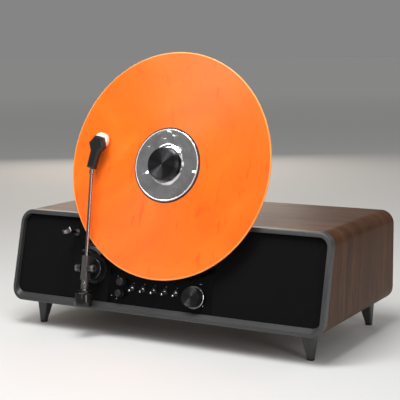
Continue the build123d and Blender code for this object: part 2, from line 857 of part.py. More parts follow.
with BuildPart() as platter:
    lathe(
        spindle_axis,
        [
            (bearing_shaft_radius + joint_clearance, mat_n),
            (platter_radius - platter_edge, mat_n),
            (platter_radius, mat_n - platter_edge),
            (platter_radius, platter_n + platter_edge),
            (platter_radius - platter_edge, platter_n),
            (drum_radius, platter_n),
            (drum_radius, drum_n),
            (drum_radius - drum_wall, drum_n),
            (drum_radius - drum_wall, platter_n - platter_web),
            (bearing_shaft_radius + hub_wall, platter_n - platter_web),
            (bearing_shaft_radius + hub_wall, drum_n + hub_gap),
            (bearing_shaft_radius + joint_clearance, drum_n + hub_gap),
        ],
    )

with BuildPart() as slip_mat:
    disc(seat(0, disc_s, mat_n), mat_radius, mat_thick, bore=spindle_radius + shaft_clearance)

# Motor behind the column's front wall with its rotor inside, its pulley in front, and the flat belt
with BuildPart() as motor:
    motor_seat = seat(0, motor_s, column_n - column_front_wall)
    disc(motor_seat, motor_radius, -motor_length)
    disc(motor_seat, motor_boss_radius, motor_boss_height)
    shaft_bore = motor_shaft_radius + shaft_clearance
    disc(motor_seat, shaft_bore, motor_boss_height, mode=Mode.SUBTRACT)
    disc(motor_seat, shaft_bore, -motor_length + motor_wall / 3, mode=Mode.SUBTRACT)
    inside = seat(0, motor_s, column_n - column_front_wall - motor_wall)
    disc(inside, motor_radius - motor_wall, 2 * motor_wall - motor_length, mode=Mode.SUBTRACT)

pulley_n = belt_n + belt_width / 2 - pulley_height / 2
with BuildPart() as motor_shaft:
    shaft_rear = column_n - column_front_wall - motor_length + motor_wall / 3 + fit_gap
    disc(seat(0, motor_s, shaft_rear), motor_shaft_radius, pulley_n + pulley_height - shaft_rear)
    rotor_n = column_n - column_front_wall - (motor_length - rotor_length) / 2
    disc(seat(0, motor_s, rotor_n), rotor_radius, -rotor_length)

with BuildPart() as motor_pulley:
    flange = (pulley_height - belt_width) / 2 - fit_gap
    lathe(
        seat(0, motor_s, pulley_n),
        [
            (motor_shaft_radius + joint_clearance, 0),
            (pulley_flange_radius, 0),
            (pulley_flange_radius, flange),
            (pulley_radius, flange),
            (pulley_radius, pulley_height - flange),
            (pulley_flange_radius, pulley_height - flange),
            (pulley_flange_radius, pulley_height),
            (motor_shaft_radius + joint_clearance, pulley_height),
        ],
    )

with BuildPart() as drive_belt:
    for reach, how in ((belt_gap + belt_thick, Mode.ADD), (belt_gap, Mode.SUBTRACT)):
        with BuildSketch(seat(0, disc_s, belt_n)):
            Circle(drum_radius + reach)
            with Locations((0, -motor_drop)):
                Circle(pulley_radius + reach)
            make_hull()
        extrude(amount=belt_width, mode=how)

# Record with a rim bead and a label on each side
with BuildPart() as record:
    groove_depth = 0.25
    edge = record_radius - 3
    lathe(
        seat(0, disc_s, record_back_n),
        [
            (record_hole_radius, label_thick),
            (label_radius, label_thick),
            (label_radius, groove_depth),
            (edge, groove_depth),
            (edge + 2, 0),
            (record_radius - 0.6, 0),
            (record_radius, record_thick / 2),
            (record_radius - 0.6, record_thick),
            (edge + 2, record_thick),
            (edge, record_thick - groove_depth),
            (label_radius, record_thick - groove_depth),
            (label_radius, record_thick - label_thick),
            (record_hole_radius, record_thick - label_thick),
        ],
    )

with BuildPart() as record_labels:
    for n in (record_back_n, record_front_n - label_thick):
        disc(seat(0, disc_s, n), label_radius - 0.1, label_thick, bore=record_hole_radius)

# Clamp: a mirror-bright plate pressed on the label, and the black knob that draws it tight
with BuildPart() as clamp_plate:
    clamp_bore = spindle_radius + shaft_clearance
    lathe(
        seat(0, disc_s, record_front_n),
        [
            (clamp_bore, 0),
            (clamp_radius - 0.5, 0),
            (clamp_radius, 0.5),
            (clamp_radius, clamp_thick - 0.8),
            (clamp_radius - 0.8, clamp_thick),
            (clamp_hub_radius, clamp_thick),
            (clamp_hub_radius, clamp_thick + clamp_hub_height),
            (clamp_bore, clamp_thick + clamp_hub_height),
        ],
    )

clamp_knob_n = record_front_n + clamp_thick + clamp_hub_height + fit_gap
with BuildPart() as clamp_knob:
    bore_depth = spindle_reach - clamp_thick - clamp_hub_height + 0.5
    lathe(
        seat(0, disc_s, clamp_knob_n),
        [
            (clamp_bore, 0),
            (clamp_knob_radius - 1.2, 0),
            (clamp_knob_radius, 1.2),
            (clamp_knob_radius, clamp_knob_height - 1.4),
            (clamp_knob_radius - 1, clamp_knob_height - 0.4),
            (clamp_knob_radius - 2, clamp_knob_height),
            (0, clamp_knob_height - 1),
            (0, bore_depth),
            (clamp_bore, bore_depth),
        ],
    )

# Arm base with its swing post and the barrel of the arm lift
barrel_n = recess_n + arm_base_thick
with BuildPart() as arm_base:
    with BuildSketch(seat(arm_x, arm_s, recess_n)):
        Circle(arm_base_radius)
    extrude(amount=arm_base_thick)
    with BuildSketch(front.offset(recess_n)):
        with Locations((arm_x, arm_s)):
            Circle(arm_base_boss_radius)
        with Locations((lift_x, lift_s)):
            Circle(lift_ear_radius)
        make_hull()
    extrude(amount=arm_base_thick)
    disc(seat(arm_x, arm_s, baffle_n), arm_base_boss_radius, recess_n - baffle_n)
    disc(seat(arm_x, arm_s, barrel_n), swing_post_radius, swing_post_height)
    disc(seat(lift_x, lift_s, barrel_n), lift_barrel_radius, lift_barrel_height)
    rod_bore = lift_rod_radius + lift_rod_clearance
    rod_seat = seat(lift_x, lift_s, barrel_n + lift_barrel_floor)
    disc(rod_seat, rod_bore, lift_barrel_height - lift_barrel_floor, mode=Mode.SUBTRACT)

# Turret that swings on the post, with a cheek each side of the arm
turret_n = barrel_n + fit_gap
cheek_inner = arm_body_width / 2 + cheek_gap
pivot_seat = seat(arm_x, arm_s, arm_n, arm_heading)
with BuildPart() as arm_turret:
    disc(seat(arm_x, arm_s, turret_n), turret_radius, turret_height)
    top_edge = arm_turret.faces().sort_by(Axis(front.origin, front.z_dir))[-1].edges()
    chamfer(top_edge, turret_chamfer)
    swing_bore = swing_post_radius + swing_clearance
    disc(seat(arm_x, arm_s, turret_n), swing_bore, turret_height - turret_roof, mode=Mode.SUBTRACT)
    cheek_foot = turret_n + turret_height - cheek_sink
    for side in (-1, 1):
        outward = pivot_seat.x_dir * side
        cheek = Plane(origin=pivot_seat.origin + outward * cheek_inner, x_dir=pivot_seat.y_dir, z_dir=outward)
        with BuildSketch(cheek):
            Circle(cheek_radius)
            with Locations((0, -side * (arm_n - cheek_foot) / 2)):
                Rectangle(2 * cheek_radius, arm_n - cheek_foot)
        extrude(amount=cheek_thick / 2)
        disc(Plane(cheek.location * Location((0, 0, cheek_thick / 2))), cheek_radius - cheek_step, cheek_thick / 2)
    pin_axis = Plane(origin=arm.origin, x_dir=arm.y_dir, z_dir=arm.x_dir)
    disc(pin_axis.offset(-cheek_inner - cheek_thick), pivot_pin_radius + joint_clearance,
         2 * (cheek_inner + cheek_thick), mode=Mode.SUBTRACT)

with BuildPart() as pivot_pin:
    disc(pin_axis.offset(-cheek_inner - cheek_thick), pivot_pin_radius, 2 * (cheek_inner + cheek_thick))

# Arm body: a tapered block over the pin, with a turned and grooved collar behind it
with BuildPart() as arm_body:
    with BuildSketch(along_arm(-arm_body_rear)):
        RectangleRounded(arm_body_width, arm_body_depth, arm_body_corner)
    with BuildSketch(along_arm(arm_body_front)):
        RectangleRounded(arm_body_width - arm_body_taper, arm_body_depth - arm_body_taper, arm_body_corner)
    loft()
    collar = arm_collar_radius
    groove_places = [collar_groove_start + i * collar_groove_pitch for i in range(collar_groove_count)]
    collar_outline = [(0, 0), (collar, 0)]
    for y in (*groove_places, arm_collar_length - collar_rear_land):
        collar_outline += [
            (collar, -y),
            (collar - collar_groove_depth, -y),
            (collar - collar_groove_depth, -y - collar_groove_width),
            (collar, -y - collar_groove_width),
        ]
    collar_outline += [
        (collar, -arm_collar_length + 0.6),
        (collar - 0.6, -arm_collar_length),
        (0, -arm_collar_length),
    ]
    lathe(along_arm(-arm_body_rear), collar_outline)
    disc(along_arm(arm_body_front), tube_radius + joint_clearance, -socket_depth, mode=Mode.SUBTRACT)
    stub_front = -arm_body_rear - arm_collar_length + socket_depth
    disc(along_arm(stub_front), stub_radius + joint_clearance, -socket_depth, mode=Mode.SUBTRACT)
    disc(pin_axis.offset(-arm_body_width), pivot_pin_radius + pivot_clearance, 2 * arm_body_width, mode=Mode.SUBTRACT)

with BuildPart() as arm_tube:
    tube_start = arm_body_front - socket_depth
    disc(along_arm(tube_start), tube_radius, tube_end - tube_start)
    disc(along_arm(tube_collar_y), tube_collar_radius, tube_collar_length)

with BuildPart() as weight_stub:
    disc(along_arm(-stub_length), stub_radius, stub_length + stub_front)

dial_y = -(weight_far_y - weight_length)
with BuildPart() as force_dial:
    disc(along_arm(dial_y + fit_gap), dial_radius, dial_thick, bore=stub_radius + weight_clearance)
    chamfer(force_dial.edges().filter_by(GeomType.CIRCLE).sort_by(SortBy.RADIUS)[-2:], 0.5)

with BuildPart() as counterweight:
    lathe(
        along_arm(dial_y),
        [
            (stub_radius + weight_clearance, 0),
            (weight_radius - 0.8, 0),
            (weight_radius, -0.8),
            (weight_radius, -weight_length + 1.2),
            (weight_radius - 1.2, -weight_length),
            (stub_radius + weight_clearance, -weight_length),
        ],
    )

# Faceted headshell, turned towards the spindle, with a socket for the tube
shell = on_arm(shell_x, shell_y, -shell_below, -shell_offset_angle)
with BuildPart() as headshell:
    with BuildSketch(shell):
        with BuildLine():
            half = [
                (shell_neck_half, 0),
                (shell_neck_half + 0.8, shell_neck_length),
                (shell_head_half, shell_widest),
                (shell_tip_half, shell_length),
            ]
            Polyline(*half, *[(-x, y) for x, y in reversed(half)], close=True)
        make_face()
    extrude(amount=shell_thick)
    chamfer(headshell.faces().sort_by(Axis(shell.origin, shell.z_dir))[-1].edges(), shell_facet)
    disc(along_arm(shell_y - 4), tube_radius + joint_clearance, tube_end - shell_y + 4, mode=Mode.SUBTRACT)

with BuildPart() as cartridge:
    with BuildSketch(shell.offset(-cartridge_height)):
        with Locations((0, cartridge_centre)):
            Circle(cartridge_radius)
        with Locations((0, (cartridge_rear + cartridge_centre) / 2)):
            Rectangle(cartridge_width, cartridge_centre - cartridge_rear)
    extrude(amount=cartridge_height)
    chamfer(cartridge.faces().sort_by(Axis(shell.origin, shell.z_dir))[0].edges(), 1.5)

with BuildPart() as stylus:
    stylus_top = Plane(shell.location * Location((0, stylus_at, -cartridge_height)))
    above_record = front.to_local_coords(stylus_top.origin).Z - (record_front_n - groove_depth)
    stylus_drop = above_record - stylus_gap
    lathe(
        stylus_top,
        [
            (0, 0),
            (2.2, 0),
            (1.6, -0.7),
            (stylus_radius, -0.9),
            (stylus_tip_radius, -stylus_drop),
            (0, -stylus_drop),
        ],
    )

# Arm lift: a curved bar on a rod, and the lever round the barrel that raises it
bar_top_n = tube_underside + (lift_bar_radius - lift_bar_width / 2) * sin(radians(arm_rise)) - lift_bar_gap
with BuildPart() as lift_bar:
    bar_inner = lift_bar_radius - lift_bar_width / 2
    bar_outer = lift_bar_radius + lift_bar_width / 2
    sweep_angle = lift_bar_left + lift_bar_right
    bar_start = 90 + arm_heading - lift_bar_right
    with BuildSketch(seat(arm_x, arm_s, bar_top_n - lift_bar_thick)):
        with BuildLine():
            inside = CenterArc((0, 0), bar_inner, bar_start, sweep_angle)
            outside = CenterArc((0, 0), bar_outer, bar_start, sweep_angle)
            Line(inside @ 0, outside @ 0)
            Line(inside @ 1, outside @ 1)
        make_face()
    extrude(amount=lift_bar_thick)
    disc(seat(lift_x, lift_s, bar_top_n - lift_bar_thick), lift_rod_radius,
         -(bar_top_n - lift_bar_thick - barrel_n - 2))

with BuildPart() as lift_lever:
    lever_seat = seat(lift_x, lift_s, barrel_n + 4, lift_lever_angle)
    disc(lever_seat, lift_barrel_radius + 2.2, lift_lever_thick)
    with BuildSketch(lever_seat):
        with Locations((lift_barrel_radius + lift_lever_length / 2, 0)):
            SlotOverall(lift_lever_length, lift_lever_width)
    extrude(amount=lift_lever_thick)
    disc(lever_seat, lift_barrel_radius + fit_gap, lift_lever_thick, mode=Mode.SUBTRACT)

# Arm rest: a post with an open cradle that the tube swings into from the record's side
shelf_n = tube_underside + rest_distance * sin(radians(arm_rise)) - rest_gap
with BuildPart() as arm_rest:
    disc(seat(rest_x, rest_s, recess_n), rest_base_radius, 1.5)
    disc(seat(rest_x, rest_s, recess_n), rest_stud_radius, -(recess_n - baffle_n) - baffle_thick + 2)
    disc(seat(rest_x, rest_s, recess_n), rest_post_radius, shelf_n - rest_shelf_thick - recess_n)
    cradle = seat(rest_x, rest_s, shelf_n - rest_shelf_thick, rest_angle)
    wall_x = -(tube_radius + rest_gap)
    with BuildSketch(Plane(cradle.origin, x_dir=cradle.x_dir, z_dir=-cradle.y_dir).offset(-rest_length / 2)):
        with BuildLine():
            Polyline(
                (wall_x - rest_wall_thick, 0),
                (tube_radius + 1.5, 0),
                (tube_radius + 2.2, rest_shelf_thick - 0.5),
                (tube_radius + 1.7, rest_shelf_thick),
                (wall_x, rest_shelf_thick),
                (wall_x, rest_shelf_thick + rest_wall_height),
                (wall_x - rest_wall_thick, rest_shelf_thick + rest_wall_height),
                close=True,
            )
        make_face()
    extrude(amount=rest_length)


def screw(base, length):
    """Round-headed screw seated on the plane base, pointing down into it."""
    lathe(
        base,
        [
            (0, screw_head_height),
            (screw_head_radius / 2, screw_head_height),
            (screw_head_radius, screw_head_height / 3),
            (screw_head_radius, 0),
            (screw_radius - joint_clearance, 0),
            (screw_radius - joint_clearance, screw_radius - length),
            (0, -length),
        ],
    )


# Screws of the back panel and of the column's cover
with BuildPart() as cover_screws:
    for x, z in block_places:
        screw(Plane(origin=(x, panel_back_y, z), x_dir=(1, 0, 0), z_dir=(0, 1, 0)), screw_length)
    for x, s in cover_screw_places:
        behind = seat(x, s, cover_n - column_cover_thick)
        screw(Plane(behind.origin, x_dir=behind.x_dir, z_dir=-behind.z_dir), cover_screw_length)

pieces = {
    "cabinet_wrap": cabinet_wrap,
    "front_bezel": front_bezel,
    "baffle_board": baffle_board,
    "grille_boards": grille_boards,
    "grille_cloths": grille_cloths,
    "control_panel": control_panel,
    "back_panel": back_panel,
    "corner_blocks": corner_blocks,
    "feet": feet,
    "foot_pads": foot_pads,
    "speaker_baskets": speaker_baskets,
    "speaker_cones": speaker_cones,
    "speaker_magnets": speaker_magnets,
    "potentiometers": potentiometers,
    "toggle_switches": toggle_switches,
    "toggle_nuts": toggle_nuts,
    "control_board": control_board,
    "volume_ring": volume_ring,
    "volume_knob": volume_knob,
    "bass_knob": bass_knob,
    "treble_knob": treble_knob,
    "amplifier_board": amplifier_board,
    "heat_sink": heat_sink,
    "line_out_jacks": line_out_jacks,
    "power_jack": power_jack,
    "column": column,
    "column_cover": column_cover,
    "cover_screws": cover_screws,
    "column_bolts": column_bolts,
    "bearing_housing": bearing_housing,
    "spindle": spindle,
    "platter": platter,
    "slip_mat": slip_mat,
    "motor": motor,
    "motor_shaft": motor_shaft,
    "motor_pulley": motor_pulley,
    "drive_belt": drive_belt,
    "record": record,
    "record_labels": record_labels,
    "clamp_plate": clamp_plate,
    "clamp_knob": clamp_knob,
    "arm_base": arm_base,
    "arm_turret": arm_turret,
    "pivot_pin": pivot_pin,
    "arm_body": arm_body,
    "arm_tube": arm_tube,
    "weight_stub": weight_stub,
    "force_dial": force_dial,
    "counterweight": counterweight,
    "headshell": headshell,
    "cartridge": cartridge,
    "stylus": stylus,
    "lift_bar": lift_bar,
    "lift_lever": lift_lever,
    "arm_rest": arm_rest,
}
for name, piece in pieces.items():
    piece.part.label = name
    export_step(piece.part, f"parts/{name}.step")

for i, x in enumerate(toggle_x):
    lever = toggle_lever(x)
    lever.label = f"toggle_lever_{i + 1}"
    export_step(lever, f"parts/toggle_lever_{i + 1}.step")
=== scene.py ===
import json
from math import cos, hypot, pi, radians, sin

import bmesh
import bpy
from mathutils import Euler, Matrix, Vector

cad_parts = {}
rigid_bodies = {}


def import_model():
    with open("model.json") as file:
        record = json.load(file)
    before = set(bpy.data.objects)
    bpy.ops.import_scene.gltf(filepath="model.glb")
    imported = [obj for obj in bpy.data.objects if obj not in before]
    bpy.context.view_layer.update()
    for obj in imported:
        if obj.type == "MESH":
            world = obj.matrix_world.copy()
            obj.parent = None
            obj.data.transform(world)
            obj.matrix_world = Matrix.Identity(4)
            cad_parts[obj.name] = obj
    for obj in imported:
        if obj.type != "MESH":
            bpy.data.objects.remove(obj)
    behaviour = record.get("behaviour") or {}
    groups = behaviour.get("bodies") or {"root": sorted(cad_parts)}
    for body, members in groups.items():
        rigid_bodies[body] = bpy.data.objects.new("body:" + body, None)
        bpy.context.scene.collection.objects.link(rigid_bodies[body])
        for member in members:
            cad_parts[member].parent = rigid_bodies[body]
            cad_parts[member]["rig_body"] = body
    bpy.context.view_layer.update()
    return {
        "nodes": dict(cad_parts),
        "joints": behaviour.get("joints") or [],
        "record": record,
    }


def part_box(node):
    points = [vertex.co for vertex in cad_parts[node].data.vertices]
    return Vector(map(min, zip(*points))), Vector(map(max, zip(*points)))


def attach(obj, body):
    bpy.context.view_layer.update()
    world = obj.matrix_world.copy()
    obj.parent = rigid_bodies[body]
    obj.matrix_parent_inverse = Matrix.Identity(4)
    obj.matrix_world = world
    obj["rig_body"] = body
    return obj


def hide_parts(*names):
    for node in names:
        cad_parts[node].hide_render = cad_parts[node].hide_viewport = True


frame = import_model()

# Cabinet wrap: one sheet of walnut-veneered plywood, bent round two corners a side and satin lacquered.
# The grain follows the bend, across the top and then down the ends, and its open pores catch light.
# The plies show as pale and dark layers on its back edge.


def srgb(red, green, blue):
    """A colour as it looks on screen, 0 to 255, as the linear values a shader takes."""
    tones = [v / 255 for v in (red, green, blue)]
    return tuple(v / 12.92 if v <= 0.04045 else ((v + 0.055) / 1.055) ** 2.4 for v in tones) + (1.0,)


def add_node(material, kind, inputs=None, **settings):
    """Add a node to a material or a geometry tree, set its settings, and link or set its inputs."""
    tree = getattr(material, "node_tree", material)
    made = tree.nodes.new(kind)
    for name, value in settings.items():
        setattr(made, name, value)
    for name, value in (inputs or {}).items():
        if isinstance(value, bpy.types.NodeSocket):
            tree.links.new(value, made.inputs[name])
        else:
            made.inputs[name].default_value = value
    return made


def new_material(name, colour, roughness, metallic=0.0, **sockets):
    """A material with one shader, and its Object coordinates."""
    material = bpy.data.materials.new(name)
    material.use_nodes = True
    shader = material.node_tree.nodes["Principled BSDF"]
    shader.inputs["Base Color"].default_value = colour
    shader.inputs["Roughness"].default_value = roughness
    shader.inputs["Metallic"].default_value = metallic
    for socket, value in sockets.items():
        shader.inputs[socket.replace("_", " ")].default_value = value
    place = add_node(material, "ShaderNodeTexCoord").outputs["Object"]
    return material, shader, place


def feed(material, shader, socket, value):
    """Link a value to one of the shader's sockets."""
    material.node_tree.links.new(value, shader.inputs[socket])


def ramp(material, value, *stops, steps="LINEAR"):
    """Colour ramp over value, from (position, colour) stops."""
    made = add_node(material, "ShaderNodeValToRGB", {"Fac": value})
    made.color_ramp.interpolation = steps
    made.color_ramp.elements[0].position, made.color_ramp.elements[0].color = stops[0]
    made.color_ramp.elements[1].position, made.color_ramp.elements[1].color = stops[-1]
    for position, colour in stops[1:-1]:
        made.color_ramp.elements.new(position).color = colour
    return made.outputs["Color"]


def spread(material, value, low, high):
    """Map a texture's 0 to 1 to low to high."""
    given = {"Value": value, "To Min": low, "To Max": high}
    return add_node(material, "ShaderNodeMapRange", given).outputs[0]


def bump(material, shader, height, distance):
    """Raise the surface by height times distance, in metres."""
    made = add_node(material, "ShaderNodeBump", {"Height": height, "Distance": distance})
    feed(material, shader, "Normal", made.outputs["Normal"])


def noise(material, place, scale, detail=2.0, **more):
    """Noise over place, which may be a Mapping node's output."""
    return add_node(material, "ShaderNodeTexNoise",
                    {"Vector": place, "Scale": scale, "Detail": detail, **more}).outputs["Fac"]


def mapped(material, place, kind="POINT", **values):
    """Stretch, turn or centre the coordinates that a pattern is laid on."""
    return add_node(material, "ShaderNodeMapping", {"Vector": place, **values}, vector_type=kind).outputs[0]


def tint(material, base, over, factor=1.0):
    """Multiply the colour base by the colour over."""
    return add_node(material, "ShaderNodeMix", {"Factor": factor, "A": base, "B": over},
                    data_type="RGBA", blend_type="MULTIPLY").outputs["Result"]


def maths(material, operation, first, second=0.0):
    """Reckon with one or two values in a material or a geometry tree."""
    return add_node(material, "ShaderNodeMath", {0: first, 1: second}, operation=operation).outputs[0]


def vector(material, **parts):
    """A vector of X, Y and Z in a material or a geometry tree, where what isn't given is 0."""
    return add_node(material, "ShaderNodeCombineXYZ", parts).outputs[0]


slots = {part["node"]: part["material_slot"] for part in frame["record"]["subparts"]}
SAME_POINT, FLAT = 1e-6, radians(0.2)


def settle(name, mesh, material, body, nodes=(), sharp=30.0, edge=0.0):
    """Make mesh an object with its material, on its body, in place of the CAD nodes it stands for."""
    coats = material if isinstance(material, tuple) else (material,)
    coat_of_face = [0] * len(mesh.polygons)
    if len(coats) > 1:
        mesh.polygons.foreach_get("material_index", coat_of_face)
    mesh.materials.clear()
    for coat in coats:
        mesh.materials.append(coat)
    mesh.polygons.foreach_set("material_index", coat_of_face)
    mesh.polygons.foreach_set("use_smooth", [True] * len(mesh.polygons))
    mesh.set_sharp_from_angle(angle=radians(sharp))
    piece = bpy.data.objects.new(name, mesh)
    bpy.context.scene.collection.objects.link(piece)
    if edge:
        rounding = piece.modifiers.new("broken edges", "BEVEL")
        rounding.width, rounding.segments, rounding.limit_method = edge, 2, "ANGLE"
        rounding.angle_limit, rounding.harden_normals = radians(sharp), True
    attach(piece, body)
    nodes = [nodes] if isinstance(nodes, str) else list(nodes)
    if nodes:
        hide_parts(*nodes)
    return piece


def body_of(node):
    """The body that a CAD node rides on."""
    return frame["nodes"][node]["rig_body"]


def clean_copy(node, without=None, second=None):
    """Copy a CAD node's mesh, with its points joined and its flat faces whole. Points that without picks are
    left off and the hole is closed. Faces that second picks are marked for a second material."""
    mesh = frame["nodes"][node].data.copy()
    shape = bmesh.new()
    shape.from_mesh(mesh)
    bmesh.ops.remove_doubles(shape, verts=shape.verts, dist=SAME_POINT)
    bmesh.ops.dissolve_limit(shape, angle_limit=FLAT, verts=shape.verts, edges=shape.edges)
    if without:
        bmesh.ops.delete(shape, geom=[v for v in shape.verts if without(v.co)], context="VERTS")
        bmesh.ops.holes_fill(shape, edges=[e for e in shape.edges if e.is_boundary])
    for face in shape.faces:
        face.material_index = int(bool(second) and second(face))
    shape.to_mesh(mesh)
    shape.free()
    return mesh


def finished(node, material, sharp=30.0, edge=0.0, ends=None, without=None):
    """Stand a clean copy of a CAD node in for it, smoothly shaded, with its edges just broken.
    ends is a second material, and the test that picks its faces."""
    second_coat, second = ends or (None, None)
    coats = (material, second_coat) if ends else material
    settle(node + "_finish", clean_copy(node, without, second), coats, body_of(node), node, sharp, edge)


walnut, shader, place = new_material("satin_walnut_veneer", srgb(92, 68, 54), 0.45, Specular_IOR_Level=0.15)
wavy = noise(walnut, mapped(walnut, place, Scale=(5.0, 14.0, 5.0)), 1.0, 3.0)
drift = vector(walnut, Y=maths(walnut, "MULTIPLY", wavy, 0.05))
bent = add_node(walnut, "ShaderNodeVectorMath", {0: place, 1: drift}, operation="ADD").outputs[0]
figure = noise(walnut, mapped(walnut, bent, Scale=(1.6, 62, 1.6)), 1.0, 6.0, Roughness=0.62, Distortion=0.3)
pores = noise(walnut, mapped(walnut, bent, Scale=(22, 950, 22)), 1.0, 3.0)
tone = ramp(walnut, figure, (0.28, srgb(50, 29, 13)), (0.44, srgb(70, 41, 19)), (0.58, srgb(83, 50, 25)),
            (0.76, srgb(105, 68, 37)))
pore_tone = ramp(walnut, pores, (0.36, (0.35, 0.32, 0.30, 1)), (0.52, (1, 1, 1, 1)))
feed(walnut, shader, "Base Color", tint(walnut, tone, pore_tone, 0.75))
feed(walnut, shader, "Roughness", spread(walnut, pores, 0.5, 0.34))
bump(walnut, shader, pores, 0.00006)

wood_low, wood_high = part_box("cabinet_wrap")
wood_middle = (wood_low + wood_high) / 2
half_wide, half_high = (wood_high.x - wood_low.x) / 2, (wood_high.z - wood_low.z) / 2
PLY_PAIR = 0.004
plies, shader, place = new_material("plywood_edge", srgb(150, 116, 84), 0.75)
sides = add_node(plies, "ShaderNodeSeparateXYZ", {"Vector": place}).outputs
across = maths(plies, "SUBTRACT", maths(plies, "ABSOLUTE", sides["X"]), half_wide)
from_middle = maths(plies, "SUBTRACT", sides["Z"], wood_middle.z)
upward = maths(plies, "SUBTRACT", maths(plies, "ABSOLUTE", from_middle), half_high)
outward = maths(plies, "MAXIMUM", across, upward)
layer = maths(plies, "FRACT", maths(plies, "MULTIPLY", outward, 1 / PLY_PAIR))
fuzz = noise(plies, mapped(plies, place, Scale=(700, 700, 700)), 1.0, 4.0)
layers = ramp(plies, layer, (0.0, srgb(168, 134, 100)), (0.5, srgb(120, 88, 62)), steps="CONSTANT")
fuzz_tone = ramp(plies, fuzz, (0.3, (0.72, 0.7, 0.68, 1)), (0.7, (1, 1, 1, 1)))
feed(plies, shader, "Base Color", tint(plies, layers, fuzz_tone))
bump(plies, shader, fuzz, 0.00015)
finished("cabinet_wrap", walnut, ends=(plies, lambda face: face.normal.y > 0.99))

# Bezel: a die-cast frame that trims the wood's front edge, a thin lip with a sill that slopes in at its foot.
# It is sprayed satin graphite, which leaves a very fine orange peel.


def toned(colour, factor):
    """The same colour, made darker or brighter by a factor."""
    return tuple(min(1.0, v * factor) for v in colour[:3]) + (1.0,)


def sprayed(name, colour, roughness, grain=900.0, depth=0.00002, metallic=0.0):
    """Sprayed or moulded finish: an even colour with fine texture and a slightly uneven gloss."""
    material, shader, place = new_material(name, colour, roughness, metallic)
    peel = noise(material, place, grain)
    cloudy = noise(material, place, 14.0, 4.0)
    tones = ramp(material, cloudy, (0.3, toned(colour, 0.86)), (0.7, toned(colour, 1.12)))
    gloss = spread(material, cloudy, roughness * 0.88, min(1.0, roughness * 1.12))
    feed(material, shader, "Base Color", tones)
    feed(material, shader, "Roughness", gloss)
    bump(material, shader, peel, depth)
    return material


graphite = sprayed("satin_graphite_paint", srgb(68, 68, 69), 0.36, 1400.0, 0.00001, 0.3)
finished("front_bezel", graphite)

# Baffle, grille boards and corner blocks: raw fibreboard, cut and glued inside the cabinet.
# They are closed in behind the cloths and the back panel.
fibreboard, shader, place = new_material("raw_fibreboard", srgb(134, 102, 74), 0.85)
fibres = noise(fibreboard, place, 420.0, 6.0)
fibre_tones = ramp(fibreboard, fibres, (0.3, srgb(108, 80, 56)), (0.7, srgb(156, 122, 90)))
feed(fibreboard, shader, "Base Color", fibre_tones)
bump(fibreboard, shader, fibres, 0.0001)
for node in ("baffle_board", "grille_boards", "corner_blocks"):
    finished(node, fibreboard)

# Grille cloths: fine black woven cloth, stretched over each grille board, glued on and trimmed at its edge.
# The threads cross over and under, square to the cabinet's edges, and the cloth drinks nearly all light.
CABINET_DEEP, FRONT_SLOPE = 0.243, radians(76)
front_foot = (0, wood_high.y - CABINET_DEEP, wood_low.z)
# The sloped front's own frame: X across it, Y up the slope from the cabinet's lower edge, Z out of it.
front = Matrix.Translation(front_foot) @ Matrix.Rotation(FRONT_SLOPE, 4, "X")

black_cloth, shader, place = new_material("black_grille_cloth", srgb(14, 14, 14), 0.95, Sheen_Weight=0.03,
                                          Sheen_Roughness=0.4, Specular_IOR_Level=0.12)
flat_place = mapped(black_cloth, place, "TEXTURE", Location=front.translation, Rotation=front.to_euler())
thread = {"Vector": flat_place, "Scale": 190.0, "Distortion": 0.6, "Detail": 1.0}
threads = [add_node(black_cloth, "ShaderNodeTexWave", thread, bands_direction=direction,
                    wave_profile="SIN").outputs["Fac"] for direction in "XY"]
weave = maths(black_cloth, "MULTIPLY", *threads)
slubs = noise(black_cloth, mapped(black_cloth, flat_place, Scale=(30, 700, 1)), 1.0, 3.0)
thread_tone = ramp(black_cloth, weave, (0.1, srgb(6, 6, 6)), (0.9, srgb(21, 21, 21)))
slub_tone = ramp(black_cloth, slubs, (0.35, (0.7, 0.7, 0.7, 1)), (0.65, (1, 1, 1, 1)))
feed(black_cloth, shader, "Base Color", tint(black_cloth, thread_tone, slub_tone, 0.6))
bump(black_cloth, shader, weave, 0.00012)
for side, name in ((-1, "left_grille_cloth"), (1, "right_grille_cloth")):
    mesh = clean_copy("grille_cloths", without=lambda point: point.x * side < 0)
    cloth = settle(name, mesh, black_cloth, "cabinet", "grille_cloths")

# Control panel: a gloss black acrylic plate between the grilles, drilled for the knobs and toggles.
# Its only marks are small spots and dashes of pale ink, screen-printed on the plate.
acrylic, shader, place = new_material("gloss_black_acrylic", srgb(7, 7, 8), 0.2, Specular_IOR_Level=0.16)
smears = noise(acrylic, place, 28.0, 5.0)
feed(acrylic, shader, "Roughness", spread(acrylic, smears, 0.14, 0.32))
feed(acrylic, shader, "Base Color", ramp(acrylic, smears, (0.3, srgb(5, 5, 6)), (0.7, srgb(9, 9, 10))))
finished("control_panel", acrylic, edge=0.0003)


def shape_tree(name, **sizes):
    """Start a Geometry Nodes tree that takes points, and has these named inputs. Gives it and its inputs."""
    tree = bpy.data.node_groups.new(name, "GeometryNodeTree")
    tree.interface.new_socket("Geometry", in_out="OUTPUT", socket_type="NodeSocketGeometry")
    tree.interface.new_socket("Places", in_out="INPUT", socket_type="NodeSocketGeometry")
    for label, value in sizes.items():
        kind = "NodeSocketInt" if isinstance(value, int) else "NodeSocketFloat"
        tree.interface.new_socket(label, in_out="INPUT", socket_type=kind).default_value = value
    tree.interface.new_socket("Material", in_out="INPUT", socket_type="NodeSocketMaterial")
    return tree, add_node(tree, "NodeGroupInput").outputs


